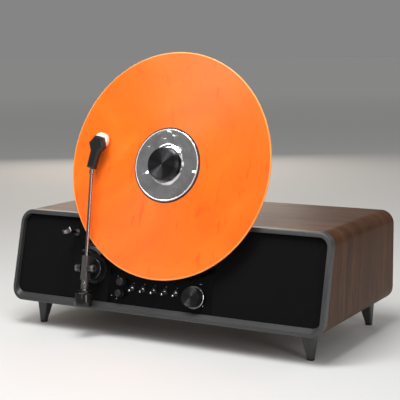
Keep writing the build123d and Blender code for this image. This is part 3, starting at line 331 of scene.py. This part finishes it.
def close_tree(tree, given, points, shape, **more):
    """End a tree: the shape on every point, as real geometry with its material."""
    copies = add_node(tree, "GeometryNodeInstanceOnPoints", {"Points": points, "Instance": shape, **more})
    real = add_node(tree, "GeometryNodeRealizeInstances", {"Geometry": copies.outputs["Instances"]})
    painted = add_node(tree, "GeometryNodeSetMaterial", {"Geometry": real.outputs["Geometry"],
                                                         "Material": given["Material"]})
    add_node(tree, "NodeGroupOutput", {"Geometry": painted.outputs["Geometry"]})


def grown(name, tree, base, material, body, nodes=(), places=(), slot=None, edge=0.0, **sizes):
    """Run a tree once on points at places, and keep its plain mesh, moved by base, as a piece."""
    start = bpy.data.meshes.new(name + "_places")
    start.from_pydata(list(places), [], [])
    source = bpy.data.objects.new(name + "_places", start)
    bpy.context.scene.collection.objects.link(source)
    modifier = source.modifiers.new("shape", "NODES")
    modifier.node_group = tree
    values = {**sizes, "Material": material}
    for socket in tree.interface.items_tree:
        if socket.in_out == "INPUT" and socket.name in values:
            modifier[socket.identifier] = values[socket.name]
    evaluated = source.evaluated_get(bpy.context.evaluated_depsgraph_get())
    mesh = bpy.data.meshes.new_from_object(evaluated)
    mesh.name = name
    bpy.data.objects.remove(source)
    mesh.transform(base)
    settle(name, mesh, material, body, nodes, edge=edge)


printing, given = shape_tree("printed_spots", radius=0.0005, thickness=0.0001, stretch=1.0)
spot = add_node(printing, "GeometryNodeMeshCylinder", {"Vertices": 20, "Radius": given["radius"],
                                                       "Depth": given["thickness"]}).outputs["Mesh"]
close_tree(printing, given, given["Places"], spot, Scale=vector(printing, X=given["stretch"], Y=1.0, Z=1.0))

pale_ink = sprayed("pale_screen_ink", srgb(150, 150, 152), 0.6, 1500.0)
dim_ink = sprayed("dim_screen_ink", srgb(74, 70, 66), 0.6, 1500.0)
PANEL_FACE = -0.006
SPOT_PLACES = ((-0.067, 0.048), (-0.074, 0.022), (-0.0655, 0.0184), (0.067, 0.022))
DASH_PLACE = (0.0606, 0.0497, PANEL_FACE)
TOGGLE_MARK_SHIFT, TOGGLE_MARK_S = 0.0004, 0.0413
grown("printed_spots", printing, front, pale_ink, "cabinet", slot=slots["control_panel"], radius=0.0007,
      places=[(x, s, PANEL_FACE) for x, s in SPOT_PLACES])
grown("printed_dash", printing, front, pale_ink, "cabinet", slot=slots["control_panel"], radius=0.0005,
      stretch=4.0, places=[DASH_PLACE])
toggle_across = [joint["pos_m"][0] for joint in frame["joints"] if joint["name"].startswith("toggle")]
grown("printed_toggle_marks", printing, front, dim_ink, "cabinet", slot=slots["control_panel"], radius=0.0008,
      stretch=1.6, places=[(x + TOGGLE_MARK_SHIFT, TOGGLE_MARK_S, PANEL_FACE) for x in toggle_across])

# Feet: splayed tapered blocks in satin black, each on a rubber pad.
# The wood is sprayed and the pads are moulded, so both show only a fine grain.
foot_paint = sprayed("satin_black_paint", srgb(50, 50, 51), 0.42, 1100.0)
finished("feet", foot_paint, edge=0.0004)
pad_rubber = sprayed("pad_rubber", srgb(30, 30, 30), 0.9, 600.0, 0.00005)
finished("foot_pads", pad_rubber)

# Speakers: pressed steel baskets, paper cones with rolled edges and ferrite ring magnets.
# They are out of sight behind the cloths.
basket_paint = sprayed("black_basket_enamel", srgb(30, 30, 31), 0.45)
cone_paper = sprayed("pressed_cone_paper", srgb(44, 43, 42), 0.9, 300.0, 0.0002)
ferrite = sprayed("grey_ferrite", srgb(70, 70, 74), 0.7, 500.0, 0.00008)
finished("speaker_baskets", basket_paint)
finished("speaker_cones", cone_paper)
finished("speaker_magnets", ferrite)

# Back panel, sockets and electronics: a black moulded back and power jack, gilt sockets and green boards.
# An aluminium heat sink stands on the amplifier's board.
moulded = sprayed("black_moulded_plastic", srgb(40, 40, 41), 0.5, 700.0, 0.00006)
finished("back_panel", moulded)
finished("power_jack", moulded, edge=0.0003)
laminate = sprayed("green_laminate", srgb(28, 92, 54), 0.4, 250.0)
finished("amplifier_board", laminate)
finished("control_board", laminate)
milled = sprayed("milled_aluminium", srgb(190, 190, 192), 0.35, 400.0, metallic=1.0)
finished("heat_sink", milled)
gilt = sprayed("gilt_socket_plating", srgb(214, 178, 98), 0.25, 400.0, metallic=1.0)
finished("line_out_jacks", gilt, edge=0.0002)

# Pots, switches and levers: plated pot cases, switches and nuts in black nickel, and bright bat levers.
# The levers are polished, so they show as small glints on the black panel.
plated = sprayed("plated_steel", srgb(150, 150, 154), 0.3, 500.0, metallic=1.0)
bright = sprayed("bright_nickel", srgb(205, 205, 208), 0.14, 300.0, 0.000005, metallic=1.0)
nut_black = sprayed("black_nickel", srgb(84, 84, 86), 0.25, 500.0, metallic=1.0)
finished("potentiometers", plated)
finished("toggle_switches", nut_black, edge=0.0002)
finished("toggle_nuts", nut_black, edge=0.0002)
for number in range(1, len(toggle_across) + 1):
    finished(f"toggle_lever_{number}", bright, sharp=50)

# Knobs: turned aluminium, black anodised, on a bright ring, and two smaller ones moulded with fine ribs.
# The volume knob's face keeps the lathe's rings, so it throws a bow tie of light.
CHART_PER_METRE = 10


def turned(name, base, outline, material, body, nodes, around=128, sharp=30.0, closed=False, band=(0, 0)):
    """Turn an outline of (radius, height) in millimetres about base's Z, with a UV map that runs round it.
    Of two materials, the second goes on the faces whose radius is within band.
    A corner of a face is its point, its step round the axis and its row of the outline."""
    shape = bmesh.new()
    chart = shape.loops.layers.uv.new("turned")
    rows, length, run = [], [0.0], list(outline) + ([outline[0]] if closed else [])
    for (r0, h0), (r1, h1) in zip(run, run[1:]):
        length.append(length[-1] + hypot(r1 - r0, h1 - h0) / 1000)
    for radius, height in outline:
        if radius == 0:
            rows.append([shape.verts.new((0, 0, height / 1000))] * around)
        else:
            turns = [2 * pi * i / around for i in range(around)]
            rows.append([shape.verts.new((radius * cos(a) / 1000, radius * sin(a) / 1000, height / 1000))
                         for a in turns])
    if closed:
        rows.append(rows[0])
    for low in range(len(rows) - 1):
        for i in range(around):
            j = (i + 1) % around
            corners = [(rows[low][i], i, low), (rows[low][j], i + 1, low),
                       (rows[low + 1][j], i + 1, low + 1), (rows[low + 1][i], i, low + 1)]
            if rows[low][i] is rows[low][j]:
                corners = [(rows[low][i], i + 0.5, low), corners[2], corners[3]]
            elif rows[low + 1][i] is rows[low + 1][j]:
                corners = [corners[0], corners[1], (rows[low + 1][i], i + 0.5, low + 1)]
            face = shape.faces.new([corner[0] for corner in corners])
            for loop, (_, step, row) in zip(face.loops, corners):
                loop[chart].uv = (step / around, length[row] * CHART_PER_METRE)
            radius = sum(corner[0].co.xy.length for corner in corners) / len(corners) * 1000
            face.material_index = int(band[0] < radius < band[1])
    bmesh.ops.recalc_face_normals(shape, faces=shape.faces)
    mesh = bpy.data.meshes.new(name)
    shape.to_mesh(mesh)
    shape.free()
    mesh.transform(base)
    settle(name, mesh, material, body, nodes, sharp)


def streaked(name, colour, roughness, metallic, streaks):
    """A material whose gloss is drawn out in streaks round the axis that its piece was turned about."""
    material, shader, place = new_material(name, colour, roughness, metallic, Anisotropic=streaks,
                                           Anisotropic_Rotation=0.25)
    tangent = add_node(material, "ShaderNodeTangent", direction_type="UV_MAP", uv_map="turned")
    feed(material, shader, "Tangent", tangent.outputs["Tangent"])
    return material, shader, place


def lathe_cut(name, colour, roughness, streaks, metallic=1.0):
    """Finish left by a lathe tool: fine rings round the axis, which draw light out in streaks from it."""
    material, shader, place = streaked(name, colour, roughness, metallic, streaks)
    chart = add_node(material, "ShaderNodeUVMap", uv_map="turned").outputs["UV"]
    rings = noise(material, mapped(material, chart, Scale=(0, 260, 1)), 1.0, 3.0)
    patches = noise(material, place, 12.0, 4.0)
    feed(material, shader, "Base Color", ramp(material, rings, (0.3, toned(colour, 0.8)), (0.7, colour)))
    feed(material, shader, "Roughness", spread(material, patches, roughness * 0.85, roughness * 1.2))
    bump(material, shader, rings, 0.000004)
    return material


def seat(x, s, n=0.0):
    """Place on the sloped front, in millimetres."""
    return front @ Matrix.Translation((x / 1000, s / 1000, n / 1000))


anodised = sprayed("black_anodised_aluminium", srgb(58, 58, 60), 0.32, 800.0, 0.00001, metallic=0.9)
turned_black = lathe_cut("turned_black_anodised", srgb(57, 57, 59), 0.37, 1.0, 0.95)
turned_bright = lathe_cut("turned_bright_ring", srgb(196, 196, 200), 0.18, 0.5)
VOLUME_X, VOLUME_S, KNOB_N = 52.5, 32.0, -4.2
turned("volume_ring_finish", seat(VOLUME_X, VOLUME_S, PANEL_FACE * 1000),
       [(3.8, 0), (15, 0), (15, 0.9), (14.8, 1.2), (14.4, 1.5), (13.6, 1.5), (13.4, 1.1), (3.8, 1.1)],
       turned_bright, "cabinet", "volume_ring", closed=True)
turned("volume_knob_finish", seat(VOLUME_X, VOLUME_S, KNOB_N),
       [(0, -8), (3, -8), (3, 0), (12.4, 0), (12.6, 0.2), (12.6, 7.7), (12.9, 8.0), (12.9, 8.4), (12.5, 8.8),
        (12, 9), (11.4, 9), (11.0, 8.8), (9, 8.72), (6, 8.55), (3, 8.35), (1.2, 8.22), (0, 8.2)],
       turned_black, "volume_knob", "volume_knob", around=160, sharp=40)

ribbing, given = shape_tree("ribs_round_an_axis", count=40, radius=0.01, width=0.0005, depth=0.0005,
                            height=0.005)
circle = add_node(ribbing, "GeometryNodeMeshCircle", {"Vertices": given["count"], "Radius": given["radius"]})
size = vector(ribbing, X=given["depth"], Y=given["width"], Z=given["height"])
rib = add_node(ribbing, "GeometryNodeMeshCube", {"Size": size}).outputs["Mesh"]
number_of_rib = add_node(ribbing, "GeometryNodeInputIndex").outputs[0]
part_turn = maths(ribbing, "DIVIDE", maths(ribbing, "MULTIPLY", number_of_rib, 2 * pi), given["count"])
close_tree(ribbing, given, circle.outputs["Mesh"], rib, Rotation=vector(ribbing, Z=part_turn))

VOLUME_RIBS_UP, SMALL_RIBS_UP, RIB_SINK = 4.0, 5.9, 0.55
grown("volume_knob_ribs", ribbing, seat(VOLUME_X, VOLUME_S, KNOB_N + VOLUME_RIBS_UP), anodised, "volume_knob",
      slot=slots["volume_knob"], count=72, radius=0.01265, width=0.0006, depth=0.0006, height=0.0072)
knob_black = sprayed("moulded_knob_black", srgb(26, 26, 27), 0.3, 700.0, 0.00003)
for knob, x, s, radius in (("bass_knob", -57.0, 41.5, 5.9), ("treble_knob", -58.0, 26.0, 5.2)):
    finished(knob, knob_black, sharp=40, edge=0.00025)
    grown(knob + "_ribs", ribbing, seat(x, s, KNOB_N + SMALL_RIBS_UP), knob_black, knob, slot=slots[knob],
          count=20, radius=(radius - RIB_SINK) / 1000, width=0.0007, depth=0.0006, height=0.0052)

# Column: a sprayed metal housing with a cover on its back, bolted down through the wood.
# It carries the bearing and the motor behind the record.
column_paint = sprayed("column_paint", srgb(48, 48, 50), 0.45, 1200.0)
for node in ("column", "column_cover"):
    finished(node, column_paint)
finished("column_bolts", plated)

# Screws of the back panel and of the column's cover: blackened steel, with round heads and cross recesses.
# Each stopped at its own angle when it was tight.
screwing, given = shape_tree("cross_recess_screws", head_radius=0.0028, head_height=0.0018,
                             shank_radius=0.00148, length=0.009, recess=0.00075, seed=3)
crown = maths(screwing, "MULTIPLY", given["head_radius"], 0.55)
head = add_node(screwing, "GeometryNodeMeshCone", {"Vertices": 32, "Radius Top": crown,
                                                   "Radius Bottom": given["head_radius"],
                                                   "Depth": given["head_height"]}).outputs["Mesh"]
slit = maths(screwing, "MULTIPLY", given["head_radius"], 1.05)
lift = vector(screwing, Z=given["head_height"])
bars = []
for x, y in ((slit, given["recess"]), (given["recess"], slit)):
    size = vector(screwing, X=x, Y=y, Z=given["head_height"])
    bar = add_node(screwing, "GeometryNodeMeshCube", {"Size": size}).outputs["Mesh"]
    raised = add_node(screwing, "GeometryNodeTransform", {"Geometry": bar, "Translation": lift})
    bars.append(raised.outputs["Geometry"])
cross = add_node(screwing, "GeometryNodeMeshBoolean", {"Mesh 2": bars[0]}, operation="UNION")
screwing.links.new(bars[1], cross.inputs["Mesh 2"])
cut = add_node(screwing, "GeometryNodeMeshBoolean", {"Mesh 1": head, "Mesh 2": cross.outputs["Mesh"]},
               operation="DIFFERENCE").outputs["Mesh"]
shank = add_node(screwing, "GeometryNodeMeshCylinder", {"Vertices": 20, "Radius": given["shank_radius"],
                                                        "Depth": given["length"]}).outputs["Mesh"]
drop = vector(screwing, Z=maths(screwing, "MULTIPLY", given["length"], -0.5))
sunk = add_node(screwing, "GeometryNodeTransform", {"Geometry": shank, "Translation": drop}).outputs[0]
whole = add_node(screwing, "GeometryNodeJoinGeometry", {"Geometry": cut})
screwing.links.new(sunk, whole.inputs["Geometry"])
any_turn = add_node(screwing, "FunctionNodeRandomValue", {"Max": pi, "Seed": given["seed"]},
                    data_type="FLOAT")
close_tree(screwing, given, given["Places"], whole.outputs["Geometry"],
           Rotation=vector(screwing, Z=any_turn.outputs[1]))

blackened = sprayed("blackened_screw_steel", srgb(64, 64, 66), 0.35, 500.0, metallic=0.8)
WALL, CORNER_BLOCK = 0.012, 0.016
panel_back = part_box("back_panel")[1].y
back_face = Matrix.Translation((0, panel_back, wood_middle.z)) @ Matrix.Rotation(-pi / 2, 4, "X")
corner_x = half_wide - WALL - CORNER_BLOCK / 2
corner_z = half_high - WALL - CORNER_BLOCK / 2
grown("back_panel_screws", screwing, back_face, blackened, "cabinet", "cover_screws", edge=0.00015,
      places=[(x, z, 0) for x in (-corner_x, corner_x) for z in (-corner_z, corner_z)])
COLUMN_N, COLUMN_DEEP, COVER_THICK = -10, 42, 3
TOP_SCREW, LOW_SCREWS, LOW_SCREW_X = 0.2322, 0.1612, 0.037
cover_back = seat(0, 0, COLUMN_N - COLUMN_DEEP - COVER_THICK) @ Matrix.Rotation(pi, 4, "Y")
grown("column_cover_screws", screwing, cover_back, blackened, "cabinet", "cover_screws", edge=0.00015,
      length=0.014, seed=8,
      places=[(0, TOP_SCREW, 0), (-LOW_SCREW_X, LOW_SCREWS, 0), (LOW_SCREW_X, LOW_SCREWS, 0)])

# Bearing, platter and drive: a brass bearing, a dark anodised platter with its drum, a motor and a flat belt.
# The rubber slip mat lies between the platter and the record.
turned_brass = sprayed("turned_brass", srgb(200, 164, 92), 0.3, 500.0, metallic=1.0)
ground_steel = sprayed("ground_steel", srgb(196, 196, 200), 0.2, 500.0, metallic=1.0)
dark_platter = sprayed("dark_anodised_platter", srgb(66, 66, 68), 0.35, 600.0, metallic=0.9)
belt_rubber = sprayed("belt_rubber", srgb(26, 26, 26), 0.7, 500.0)
finished("bearing_housing", turned_brass)
finished("spindle", ground_steel)
finished("platter", dark_platter)
finished("slip_mat", pad_rubber)
finished("motor", plated)
finished("motor_shaft", ground_steel)
finished("motor_pulley", turned_brass)
finished("drive_belt", belt_rubber)

# Record: pressed orange vinyl, faintly marbled where two batches of pellets met, with a rim bead.
# Its fine grooves run round it and draw a soft fan of light towards the lamp; a plain label is on each side.
DISC_S, RECORD_N = 199.196, 9.0
vinyl, shader, place = streaked("marbled_orange_vinyl", srgb(255, 112, 20), 0.36, 0.0, 0.6)
axis = seat(0, DISC_S, RECORD_N)
on_disc = mapped(vinyl, place, "TEXTURE", Location=axis.translation, Rotation=axis.to_euler())
drawn_out = mapped(vinyl, on_disc, Scale=(60, 16, 1), Rotation=(0, 0, 0.6))
swirl = noise(vinyl, on_disc, 7.0, 4.0, Distortion=1.6)
wisps = noise(vinyl, drawn_out, 1.0, 5.0, Distortion=2.2)
body_colour = ramp(vinyl, swirl, (0.34, srgb(250, 99, 8)), (0.55, srgb(255, 108, 14)),
                   (0.72, srgb(255, 122, 30)))
veins = ramp(vinyl, wisps, (0.31, (0.80, 0.62, 0.60, 1)), (0.39, (1, 1, 1, 1)), (0.70, (1, 1, 1, 1)),
             (0.78, (1.0, 1.16, 1.5, 1)))
feed(vinyl, shader, "Base Color", tint(vinyl, body_colour, veins, 0.8))
chart = add_node(vinyl, "ShaderNodeUVMap", uv_map="turned").outputs["UV"]
grooves = noise(vinyl, mapped(vinyl, chart, Scale=(0, 90, 1)), 1.0, 3.0)
feed(vinyl, shader, "Roughness", spread(vinyl, grooves, 0.3, 0.42))
bump(vinyl, shader, grooves, 0.000012)
# The rim bead is coloured a lighter orange than the vinyl, a painted highlight along the record's edge.
rim_painted_highlight = sprayed("painted_highlight_orange_rim", srgb(255, 150, 78), 0.22, 400.0)
rim_bead = [(149.4, 0.02), (150.0, 0.1), (150.5, 0.36), (150.74, 0.7), (150.8, 1.0), (150.74, 1.3),
            (150.5, 1.64), (150.0, 1.9), (149.4, 1.98), (148.8, 1.92), (148.2, 1.8)]
turned("record_finish", axis,
       [(3.62, 0.2), (50, 0.2), (50, 0.25), (147.6, 0.25), (148.4, 0.18), *rim_bead, (147.6, 1.75),
        (60, 1.75), (59, 1.72), (50, 1.75), (50, 1.8), (3.62, 1.8)],
       (vinyl, rim_painted_highlight), "platter", "record", around=256, closed=True, sharp=50, band=(149.0, 151.0))
label_paper = sprayed("dark_label_paper", srgb(44, 42, 42), 0.7, 600.0)
finished("record_labels", label_paper)

# Clamp: a spun steel plate, polished like a mirror and stepped up round its boss, and a turned black knob.
# Polishing left the plate very slightly wavy, so what it mirrors breaks up. The knob draws the plate tight.
CLAMP_N, CLAMP_KNOB_UP = 11.0, 3.8
spun_mirror, shader, place = streaked("spun_mirror_steel", srgb(206, 208, 212), 0.09, 1.0, 0.3)
dents = noise(spun_mirror, place, 46.0, 1.5, Distortion=0.4)
smudges = noise(spun_mirror, place, 60.0, 5.0)
smudge_tone = ramp(spun_mirror, smudges, (0.3, srgb(204, 203, 202)), (0.7, srgb(236, 236, 237)))
feed(spun_mirror, shader, "Base Color", smudge_tone)
feed(spun_mirror, shader, "Roughness", spread(spun_mirror, smudges, 0.06, 0.14))
bump(spun_mirror, shader, dents, 0.0036)
# The rolled bead is coloured a paler, half-diffuse steel than the mirror plate, a painted highlight that
# shows as a bright line all round it.
bead_painted_highlight = sprayed("rolled_bead_painted_highlight", srgb(232, 230, 228), 0.5, 400.0, metallic=0.6)
turned("clamp_plate_finish", seat(0, DISC_S, CLAMP_N),
       [(3.63, 0), (47.5, 0), (48, 0.5), (48, 1.2), (47.8, 1.7), (47.3, 2), (46.6, 2), (46.2, 1.8),
        (45.6, 1.78), (29, 1.8), (27.6, 1.88), (26.4, 2.1), (25.3, 2.5), (24.4, 3.0), (23.8, 3.25),
        (22.6, 3.32), (17, 3.4), (17, 3.5), (3.63, 3.5)],
       (spun_mirror, bead_painted_highlight), "clamp", "clamp_plate", around=192, closed=True, sharp=35,
       band=(46.1, 47.5))
turned("clamp_knob_finish", seat(0, DISC_S, CLAMP_N + CLAMP_KNOB_UP),
       [(0, 6), (3.63, 6), (3.63, 0), (20.1, 0), (20.9, 0.5), (21.3, 1.2), (21.3, 9.1), (21.0, 9.8),
        (20.4, 10.3), (19.3, 10.5), (18.9, 10.42), (14, 10.15), (8, 9.82), (3, 9.58), (0.8, 9.51), (0, 9.5)],
       turned_black, "clamp_knob", "clamp_knob", around=192, sharp=40)

# Arm base and turret: turned and milled aluminium, black anodised, with a steel pivot pin.
# The turret swings on the post of the base and carries a cheek each side of the arm.
arm_black = sprayed("arm_black_anodised", srgb(60, 58, 58), 0.26, 800.0, 0.00001, metallic=0.8)
bearing_cap = sprayed("satin_bearing_cap", srgb(112, 110, 108), 0.34, 700.0, 0.00001, 0.9)
ARM_X, ARM_S, ARM_YAW = -104.5, 53.996, radians(2.57)
CAP_X, CAP_N = 0.0105, 0.0115
to_turret = (seat(ARM_X, ARM_S) @ Matrix.Rotation(ARM_YAW, 4, "Z")).inverted()


def on_cap(face):
    """Whether a face of the turret is on a bearing cap, outside its cheeks."""
    middle = to_turret @ face.calc_center_median()
    return abs(middle.x) > CAP_X and middle.z > CAP_N


finished("arm_base", arm_black, edge=0.00035)
finished("arm_turret", arm_black, edge=0.0003, ends=(bearing_cap, on_cap))
finished("pivot_pin", ground_steel)

# Arm: a milled body over the pin, a polished tube, and a stub for the counterweight.
# The body is a warmer grey than the base, brushed along its length.
ARM_N, ARM_PITCH, BODY_END = 17.5, radians(2), -0.0156
arm = seat(ARM_X, ARM_S, ARM_N) @ Matrix.Rotation(ARM_YAW, 4, "Z") @ Matrix.Rotation(ARM_PITCH, 4, "X")
along = arm @ Matrix.Rotation(-pi / 2, 4, "X")
arm_grey, shader, place = new_material("brushed_warm_grey", srgb(96, 91, 88), 0.42, 0.55)
lengthwise = mapped(arm_grey, place, "TEXTURE", Location=arm.translation, Rotation=arm.to_euler())
strokes = noise(arm_grey, mapped(arm_grey, lengthwise, Scale=(1500, 20, 1500)), 1.0, 3.0)
stroke_tone = ramp(arm_grey, strokes, (0.3, srgb(69, 65, 63)), (0.7, srgb(99, 94, 91)))
feed(arm_grey, shader, "Base Color", stroke_tone)
bump(arm_grey, shader, strokes, 0.00004)
to_arm = along.inverted()
finished("arm_body", arm_grey, edge=0.0003, without=lambda point: (to_arm @ point).z < BODY_END)
polished = sprayed("polished_steel_tube", srgb(150, 140, 138), 0.14, 300.0, 0.000001, 1.0)
COLLAR_R, GROOVE_R, COLLAR_GROOVES = 5.1, 4.4, (-17.0, -19.2, -21.4, -25.6)
collar = [(0, -15.5), (COLLAR_R, -15.5)]
for middle in COLLAR_GROOVES:
    collar += [(COLLAR_R, middle + 0.55), (4.95, middle + 0.4), (GROOVE_R, middle + 0.35),
               (GROOVE_R, middle - 0.35), (4.95, middle - 0.4), (COLLAR_R, middle - 0.55)]
collar += [(COLLAR_R, -27.9), (4.5, -28.5), (0, -28.5)]
turned("arm_collar_finish", along, collar, (arm_grey, bright), "arm", "arm_body", around=64, sharp=40,
       band=(4.5, 5.07))
turned("arm_tube_finish", along,
       [(0, 11), (2.3, 11), (2.3, 126), (2.8, 126.2), (3.2, 126.7), (3.2, 131.4), (2.8, 132), (2.3, 132),
        (2.3, 140), (0, 140)], polished, "arm", "arm_tube", around=48)
finished("weight_stub", ground_steel)

# Counterweight and dial: a turned weight in gloss black enamel, and a thin black dial in front of it.
# The dial's edge carries fifty ticks, by which its turn is read.
weight_gloss = lathe_cut("gloss_black_enamel", srgb(34, 31, 30), 0.13, 0.0, 0.3)
turned("counterweight_finish", along,
       [(3.1, -33), (11.4, -33), (12.1, -33.2), (12.5, -33.9), (12.5, -49.6), (12.2, -50.5), (11.4, -51),
        (9.8, -51), (9.4, -50.6), (3.1, -50.6)],
       weight_gloss, "counterweight", "counterweight", around=96, closed=True, sharp=40)
dial_black = lathe_cut("dial_black_anodised", srgb(70, 68, 66), 0.3, 0.4, 0.8)
turned("force_dial_finish", along,
       [(3.1, -32.7), (10.2, -32.7), (10.7, -32.4), (10.7, -30.0), (10.2, -29.7), (3.1, -29.7)],
       dial_black, "force_dial", "force_dial", around=96, closed=True)
DIAL_MIDDLE = -0.0312
grown("force_dial_ticks", ribbing, along @ Matrix.Translation((0, 0, DIAL_MIDDLE)), dial_black, "force_dial",
      slot=slots["force_dial"], count=50, radius=0.01075, width=0.0005, depth=0.0005, height=0.002)

# Headshell and cartridge: a faceted black shell with a cream cartridge under it.
# The shell is die-cast and sprayed; the cartridge is a glossy moulding.
shell_black = sprayed("headshell_black", srgb(23, 22, 23), 0.28, 900.0)
cream = sprayed("cream_plastic", srgb(240, 230, 214), 0.35, 600.0)
finished("headshell", shell_black, edge=0.0003)
finished("cartridge", cream, edge=0.0003)
finished("stylus", cream)

# Lift and rest: a curved bar that raises the arm, its lever, and a post with an open cradle.
# The bar and the rest have a satin nickel finish, and the lever is moulded.
satin_nickel = sprayed("satin_nickel", srgb(118, 115, 114), 0.28, 700.0, 0.00001, 1.0)
finished("lift_bar", satin_nickel, edge=0.0002)
finished("lift_lever", moulded, edge=0.0003)
finished("arm_rest", satin_nickel, edge=0.0003)

# Stage: a plain pale floor and soft studio lamps.
# Far off, past the lamps' reach, the floor glows faintly, up to the background's tone, so no horizon shows.
floor_mesh = bpy.data.meshes.new("floor")
HALF_FLOOR = 40.0
floor_corners = [(x * HALF_FLOOR, y * HALF_FLOOR, 0) for x, y in ((-1, -1), (1, -1), (1, 1), (-1, 1))]
floor_mesh.from_pydata(floor_corners, [], [(0, 1, 2, 3)])
floor = bpy.data.objects.new("floor", floor_mesh)
bpy.context.scene.collection.objects.link(floor)
floor_paint, shader, place = new_material("pale_floor", srgb(216, 216, 214), 0.8)
GLOW_FROM, GLOW_FULL, FULL_GLOW = 1.0, 8.0, 0.07
distance = add_node(floor_paint, "ShaderNodeVectorMath", {0: place}, operation="LENGTH").outputs["Value"]
glow = add_node(floor_paint, "ShaderNodeMapRange", {"Value": distance, "From Min": GLOW_FROM,
                                                    "From Max": GLOW_FULL, "To Max": FULL_GLOW}).outputs[0]
feed(floor_paint, shader, "Emission Strength", glow)
shader.inputs["Emission Color"].default_value = (1, 1, 1, 1)
floor_mesh.materials.append(floor_paint)

world = bpy.data.worlds.new("studio")
bpy.context.scene.world = world
world.use_nodes = True
background = world.node_tree.nodes["Background"].inputs
background["Color"].default_value = (0.9, 0.9, 0.9, 1)
background["Strength"].default_value = 0.26


def lamp(name, place, target, wide, high, power, tone=(1, 1, 1)):
    """A soft box at place, turned to target, with its light's colour as tone."""
    light = bpy.data.lights.new(name, "AREA")
    light.shape, light.size, light.size_y = "RECTANGLE", wide, high
    light.energy, light.color = power, tone
    made = bpy.data.objects.new(name, light)
    bpy.context.scene.collection.objects.link(made)
    made.location = place
    made.rotation_euler = (Vector(target) - Vector(place)).to_track_quat("-Z", "Y").to_euler()


lamp("key", (0.1, -0.5, 1.5), (0, 0, 0.2), 0.7, 0.7, 16)
lamp("top", (-0.1, -0.5, 0.85), (0, 0, 0.38), 0.25, 0.25, 1.6)
lamp("veil", (-0.7, -1.0, 1.35), (0, 0, 0.3), 0.6, 0.6, 8)
lamp("front", (0.3, -2.5, 1.4), (0, 0, 0.2), 1.0, 1.0, 3)
lamp("strip", (1.9, -1.0, 0.7), (0, 0, 0.2), 0.5, 1.2, 11)
lamp("back", (-1.25, 1.85, 0.8), (0, 0, 0.2), 1.1, 1.1, 7.5, (1.0, 0.87, 0.75))
lamp("edge", (1.3, 1.6, 1.7), (0, 0, 0.25), 0.8, 0.8, 4)

# Camera: stands level with the record's top, off to the object's right, as the photograph was taken.
# Its place, turn and lens were worked out from the cabinet's edges and the record's outline.
camera_data = bpy.data.cameras.new("camera")
camera_data.sensor_width, camera_data.lens = 36.0, 97.34
camera = bpy.data.objects.new("camera", camera_data)
bpy.context.scene.collection.objects.link(camera)
CAMERA_X, CAMERA_BEFORE_FRONT, CAMERA_Z = 0.73941, 1.15911, 0.38225
CAMERA_PITCH, CAMERA_ROLL, CAMERA_YAW = radians(82.07216), radians(0.57542), radians(29.88773)
camera_place = Matrix.Translation((CAMERA_X, front.translation.y - CAMERA_BEFORE_FRONT, CAMERA_Z))
camera_turn = Euler((CAMERA_PITCH, CAMERA_ROLL, CAMERA_YAW)).to_matrix().to_4x4()
camera.matrix_world = camera_place @ camera_turn
bpy.context.scene.camera = camera
bpy.context.scene.view_settings.view_transform = "Standard"
